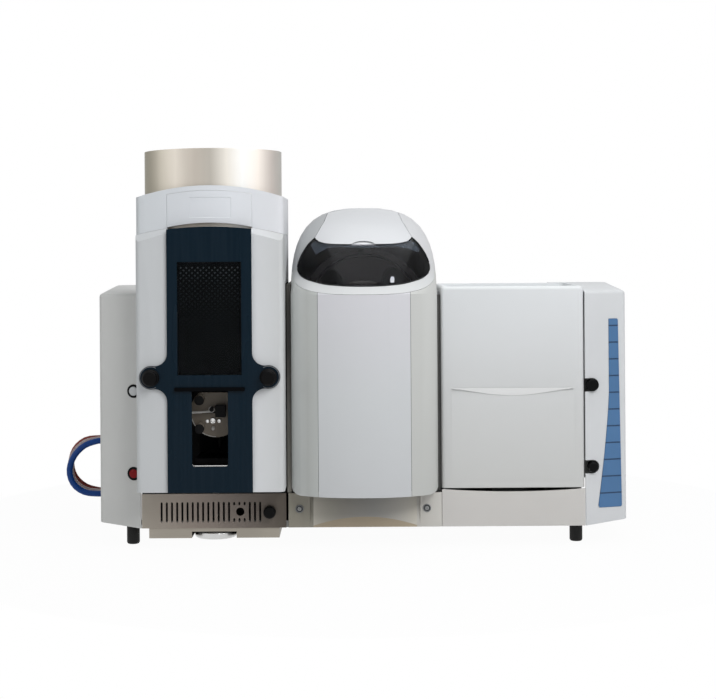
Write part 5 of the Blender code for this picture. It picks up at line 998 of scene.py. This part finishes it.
def build_lamp_details():
    """The guard round the carousel with its clip, the carousel's ribs, and the tag and sill before them."""
    height = 0.425
    foot = height - 0.009
    y = KICK_Y + 0.058
    wide, narrow, end = 0.1135, 0.1015, 0.1274
    guard = [(TOWER + x, z) for x, z in ((narrow, foot), (end, foot), (end, height), (wide, height))]
    guard += arc_points(TOWER, height, wide, 8, 172, 48)
    guard += [(TOWER + x, z) for x, z in ((-wide, height), (-end, height), (-end, foot), (-narrow, foot))]
    guard += arc_points(TOWER, height, narrow, 172, 8, 48)
    trim("carousel_guard", prism(guard, y, y + 0.004), "rotor", "chassis", 0.0006)
    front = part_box("lamp_carousel")[0][1] - 0.0002
    for name, radius in (("rotor_rib_outer", 0.0965), ("rotor_rib_inner", 0.0530)):
        rib = [(x, front, z) for x, z in ring_of(TOWER, height, radius, 72)]
        wire(name, [rib], 0.0008, "dark", BODY_OF["lamp_carousel"], closed=True)
    tag = [(TOWER + x, z) for x, z in ((0.0480, 0.4752), (0.0540, 0.4748), (0.0552, 0.4800), (0.0540, 0.4855),
                                       (0.0492, 0.4855), (0.0475, 0.4800))]
    # The tag's look glows as painted light.
    trim("lamp_tag", prism(tag, y - 0.0560, y - 0.0540), "tag", "chassis", 0.0006)
    angles = [math.pi * i / 20 for i in range(21)]
    sill = [(TOWER - 0.001 + 0.0260 * math.cos(a), 0.4730 + 0.0055 * math.sin(a)) for a in angles]
    trim("lamp_sill", prism(sill, y - 0.050, y - 0.048), "pan", "chassis", 0.0004)
    clip = block((TOWER - 0.0100, y - 0.006, 0.5270), (TOWER + 0.0004, y, 0.5350))
    trim("guard_clip", clip, "black", "chassis", 0.0008)


def contour(mesh, pick):
    """Chains of sharp edges that pass the test, as lists of points."""
    shape = bmesh.new()
    shape.from_mesh(mesh)
    shape.normal_update()
    edges = [edge for edge in shape.edges
             if len(edge.link_faces) == 2 and edge.calc_face_angle(0) > math.radians(50) and pick(edge)]
    links = {}
    for edge in edges:
        a, b = edge.verts
        links.setdefault(a, []).append(b)
        links.setdefault(b, []).append(a)
    chains = []
    used = set()
    for start in sorted(links, key=lambda vert: (len(links[vert]) != 1, vert.index)):
        if start in used:
            continue
        chain = [start]
        used.add(start)
        while True:
            ahead = [vert for vert in links[chain[-1]] if vert not in used]
            if not ahead:
                break
            used.add(ahead[0])
            chain.append(ahead[0])
        if len(chain) > 2:
            closed = chain[0] in links[chain[-1]] and len(chain) > 3
            chains.append([tuple(vert.co) for vert in chain] + ([tuple(chain[0].co)] if closed else []))
    shape.free()
    return chains


def build_visor_trim(visor):
    def outer(edge):
        middle = (edge.verts[0].co + edge.verts[1].co) / 2
        away = Vector((middle.x - TOWER, middle.y - 0.02, middle.z - 0.40)).normalized()
        return max(face.normal.dot(away) for face in edge.link_faces) > 0.72

    wire("visor_seal", contour(visor, outer), 0.0012, "seal", "lamp_lid")


# Pan under the flame bay and the strip beside the tower

def build_lower_pieces():
    """The pan with its notch for the wheel, the strips beside the tower and the furnace cover's crescent."""
    wall = 0.002
    low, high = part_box("under_pan")
    wheel_low, wheel_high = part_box("burner_height_wheel")
    x, y = (wheel_low[0] + wheel_high[0]) / 2, (wheel_low[1] + wheel_high[1]) / 2
    reach = (wheel_high[0] - wheel_low[0]) / 2 + 0.002
    hollow = block([v + wall for v in low], (high[0] - wall, high[1] - wall, high[2] + 0.02))
    notch = bmesh.new()
    bmesh.ops.create_cone(notch, cap_ends=True, segments=64, radius1=reach, radius2=reach, depth=0.06)
    notch.transform(Matrix.Translation((x, y, 0.0)))
    mouth = block((x - reach, low[1] - 0.02, low[2] - 0.02), (x + reach, y, 0.030))
    steps = [("DIFFERENCE", plain("cut", shape)) for shape in (hollow, notch, mouth)]
    pan = solved("under_pan_form", plain("pan", block(low, high)), steps)
    bevelled(show("under_pan_shell", pan, "pan", "chassis", ["under_pan"]), 0.0005)
    base = 0.0995
    flame_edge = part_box("flame_front_frame")[1][0]
    tower_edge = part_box("tower_hood")[0][0]
    # The strip in the gap beside the flame bay stands for the shade there, painted darker towards its top.
    strip = block((flame_edge + 0.0018, KICK_Y + 0.001, base), (tower_edge - 0.0002, -0.0240, 0.4735))
    trim("bay_gap_strip", strip, "strip", "chassis", 0.0006)
    # This strip is a dim grey sheet of painted shade in the gap between the tower and the furnace cover.
    hood_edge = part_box("tower_cheek_right")[1][0]
    cover_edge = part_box("furnace_cover")[0][0]
    strip = block((hood_edge + 0.0001, KICK_Y + 0.012, base), (cover_edge - 0.0007, KICK_Y + 0.030, 0.4520))
    trim("furnace_gap_strip", strip, "gap", "chassis", 0.0002)
    # The crescent ledge wears a painted highlight, paler than the cover around it.
    half, top, sag = 0.1105, 0.2838, 0.0122
    face = on_front(tree_of("furnace_cover"), FURNACE, 0.262).y
    across = [1 - i / 16 for i in range(33)]
    lens = [(FURNACE + half * a, top + 0.0008) for a in across]
    lens += [(FURNACE - half * a, top - sag * math.cos(math.pi / 2 * a) ** 1.4) for a in across[1:-1]]
    crescent = prism(lens, face - 0.0009, face + 0.0030)
    trim("cover_crescent", crescent, "crescent", BODY_OF["furnace_cover"], 0.0006)


# Small fasteners

def socket_screw(name, x, z, radius):
    """A socket screw flush in the kick panel: its cup, its head and a black ring of painted shade in the
    groove between them.
    """
    inner = radius * 0.56
    cup = ((0, -0.001), (radius, -0.001), (radius, 0.0016), (radius * 0.88, 0.0022), (radius * 0.76, 0.0016),
           (radius * 0.72, 0.0002), (0, 0.0002))
    head = ((0, 0), (inner, 0), (inner, 0.0016), (inner * 0.8, 0.0026), (inner * 0.42, 0.0030),
            (inner * 0.36, 0.0016), (0, 0.0016))
    outer = radius * 0.74
    groove_shade = ((inner, 0.0001), (outer, 0.0001), (outer, 0.0005), (inner, 0.0005), (inner, 0.0001))
    for part, profile, look in (("cup", cup, "line"), ("head", head, "bolt"), ("groove_shade", groove_shade, "black")):
        shape = turned((x, z), [(r, KICK_Y - out) for r, out in profile])
        show(f"{name}_{part}", from_bmesh(part, shape), look, "chassis")


def build_fasteners():
    for name, x in (("kick_screw_left", -0.1177), ("kick_screw_right", 0.1108)):
        socket_screw(name, TOWER + x, 0.0706, 0.0073)


# Stage

def build_stage():
    ground = bmesh.new()
    bmesh.ops.create_grid(ground, x_segments=1, y_segments=1, size=6)
    mesh = bpy.data.meshes.new("studio_floor")
    ground.to_mesh(mesh)
    ground.free()
    floor = bpy.data.objects.new("studio_floor", mesh)
    SCENE.collection.objects.link(floor)
    look = Look("studio_floor", (0.76, 0.76, 0.76), 0.8)
    look.tint(look.noise(3, 2), (0.75, 0.75, 0.75))
    away = look.node("ShaderNodeVectorMath")
    away.operation = "LENGTH"
    look.link(look.at, away.inputs[0])
    fade = look.spread(away.outputs["Value"], From_Min=0.30, From_Max=0.85)
    rays = look.node("ShaderNodeLightPath").outputs
    seen = look.maths("MAXIMUM", rays["Is Glossy Ray"], rays["Is Transmission Ray"])
    seen = look.maths("MAXIMUM", rays["Is Camera Ray"], seen)
    glow = look.node("ShaderNodeEmission", Strength=1.0)
    mixed = look.node("ShaderNodeMixShader")
    look.link(look.maths("MULTIPLY", seen, look.maths("MAXIMUM", fade, 0.965)), mixed.inputs["Fac"])
    look.link(look.shader.outputs["BSDF"], mixed.inputs[1])
    look.link(glow.outputs["Emission"], mixed.inputs[2])
    look.link(mixed.outputs["Shader"], look.tree.nodes["Material Output"].inputs["Surface"])
    mesh.materials.append(look.material)

    SCENE.world = bpy.data.worlds.new("studio")
    SCENE.world.use_nodes = True
    tree = SCENE.world.node_tree
    made = {kind: tree.nodes.new("ShaderNode" + kind) for kind in ("Background", "LightPath", "MixShader")}
    most, gloss = tree.nodes.new("ShaderNodeMath"), tree.nodes.new("ShaderNodeMath")
    most.operation, gloss.operation = "MAXIMUM", "MULTIPLY_ADD"
    gloss.inputs[1].default_value = 0.6
    back, white, rays = tree.nodes["Background"], made["Background"], made["LightPath"].outputs
    for node, colour, strength in ((back, (0.96, 0.98, 1.0, 1), 0.34), (white, (1, 1, 1, 1), 1.0)):
        node.inputs["Color"].default_value = colour
        node.inputs["Strength"].default_value = strength
    mix = made["MixShader"]
    for a, b in ((rays["Is Camera Ray"], most.inputs[0]), (rays["Is Transmission Ray"], most.inputs[1]),
                 (rays["Is Glossy Ray"], gloss.inputs[0]), (most.outputs[0], gloss.inputs[2]),
                 (gloss.outputs[0], mix.inputs["Fac"]), (back.outputs["Background"], mix.inputs[1]),
                 (white.outputs["Background"], mix.inputs[2]),
                 (mix.outputs["Shader"], tree.nodes["World Output"].inputs["Surface"])):
        tree.links.new(a, b)

    def softbox(name, at, aim, size, power, colour):
        lamp = bpy.data.lights.new(name, "AREA")
        lamp.shape = "RECTANGLE"
        lamp.size, lamp.size_y = size
        lamp.energy = power
        lamp.color = colour
        holder = bpy.data.objects.new(name, lamp)
        SCENE.collection.objects.link(holder)
        holder.location = at
        holder.rotation_euler = (Vector(aim) - Vector(at)).to_track_quat("-Z", "Y").to_euler()

    softbox("key", (1.5, -2.5, 2.5), (0, 0, 0.35), (1.8, 1.4), 62, (0.985, 0.99, 1.0))
    softbox("fill_left", (-2.6, -2.0, 1.5), (0, 0, 0.3), (1.4, 1.8), 10, (0.98, 1.0, 0.97))
    softbox("top", (0.2, 0.0, 2.6), (0, 0, 0.3), (2.6, 1.8), 24, (0.97, 0.985, 1.0))


SCENE.view_settings.view_transform = "Standard"
build_camera()
build_hoses()
dress()
build_screen()
build_burner_details()
build_sash()
build_lamp_details()
build_visor_trim(build_tower_top())
build_lower_pieces()
build_fasteners()
build_stage()
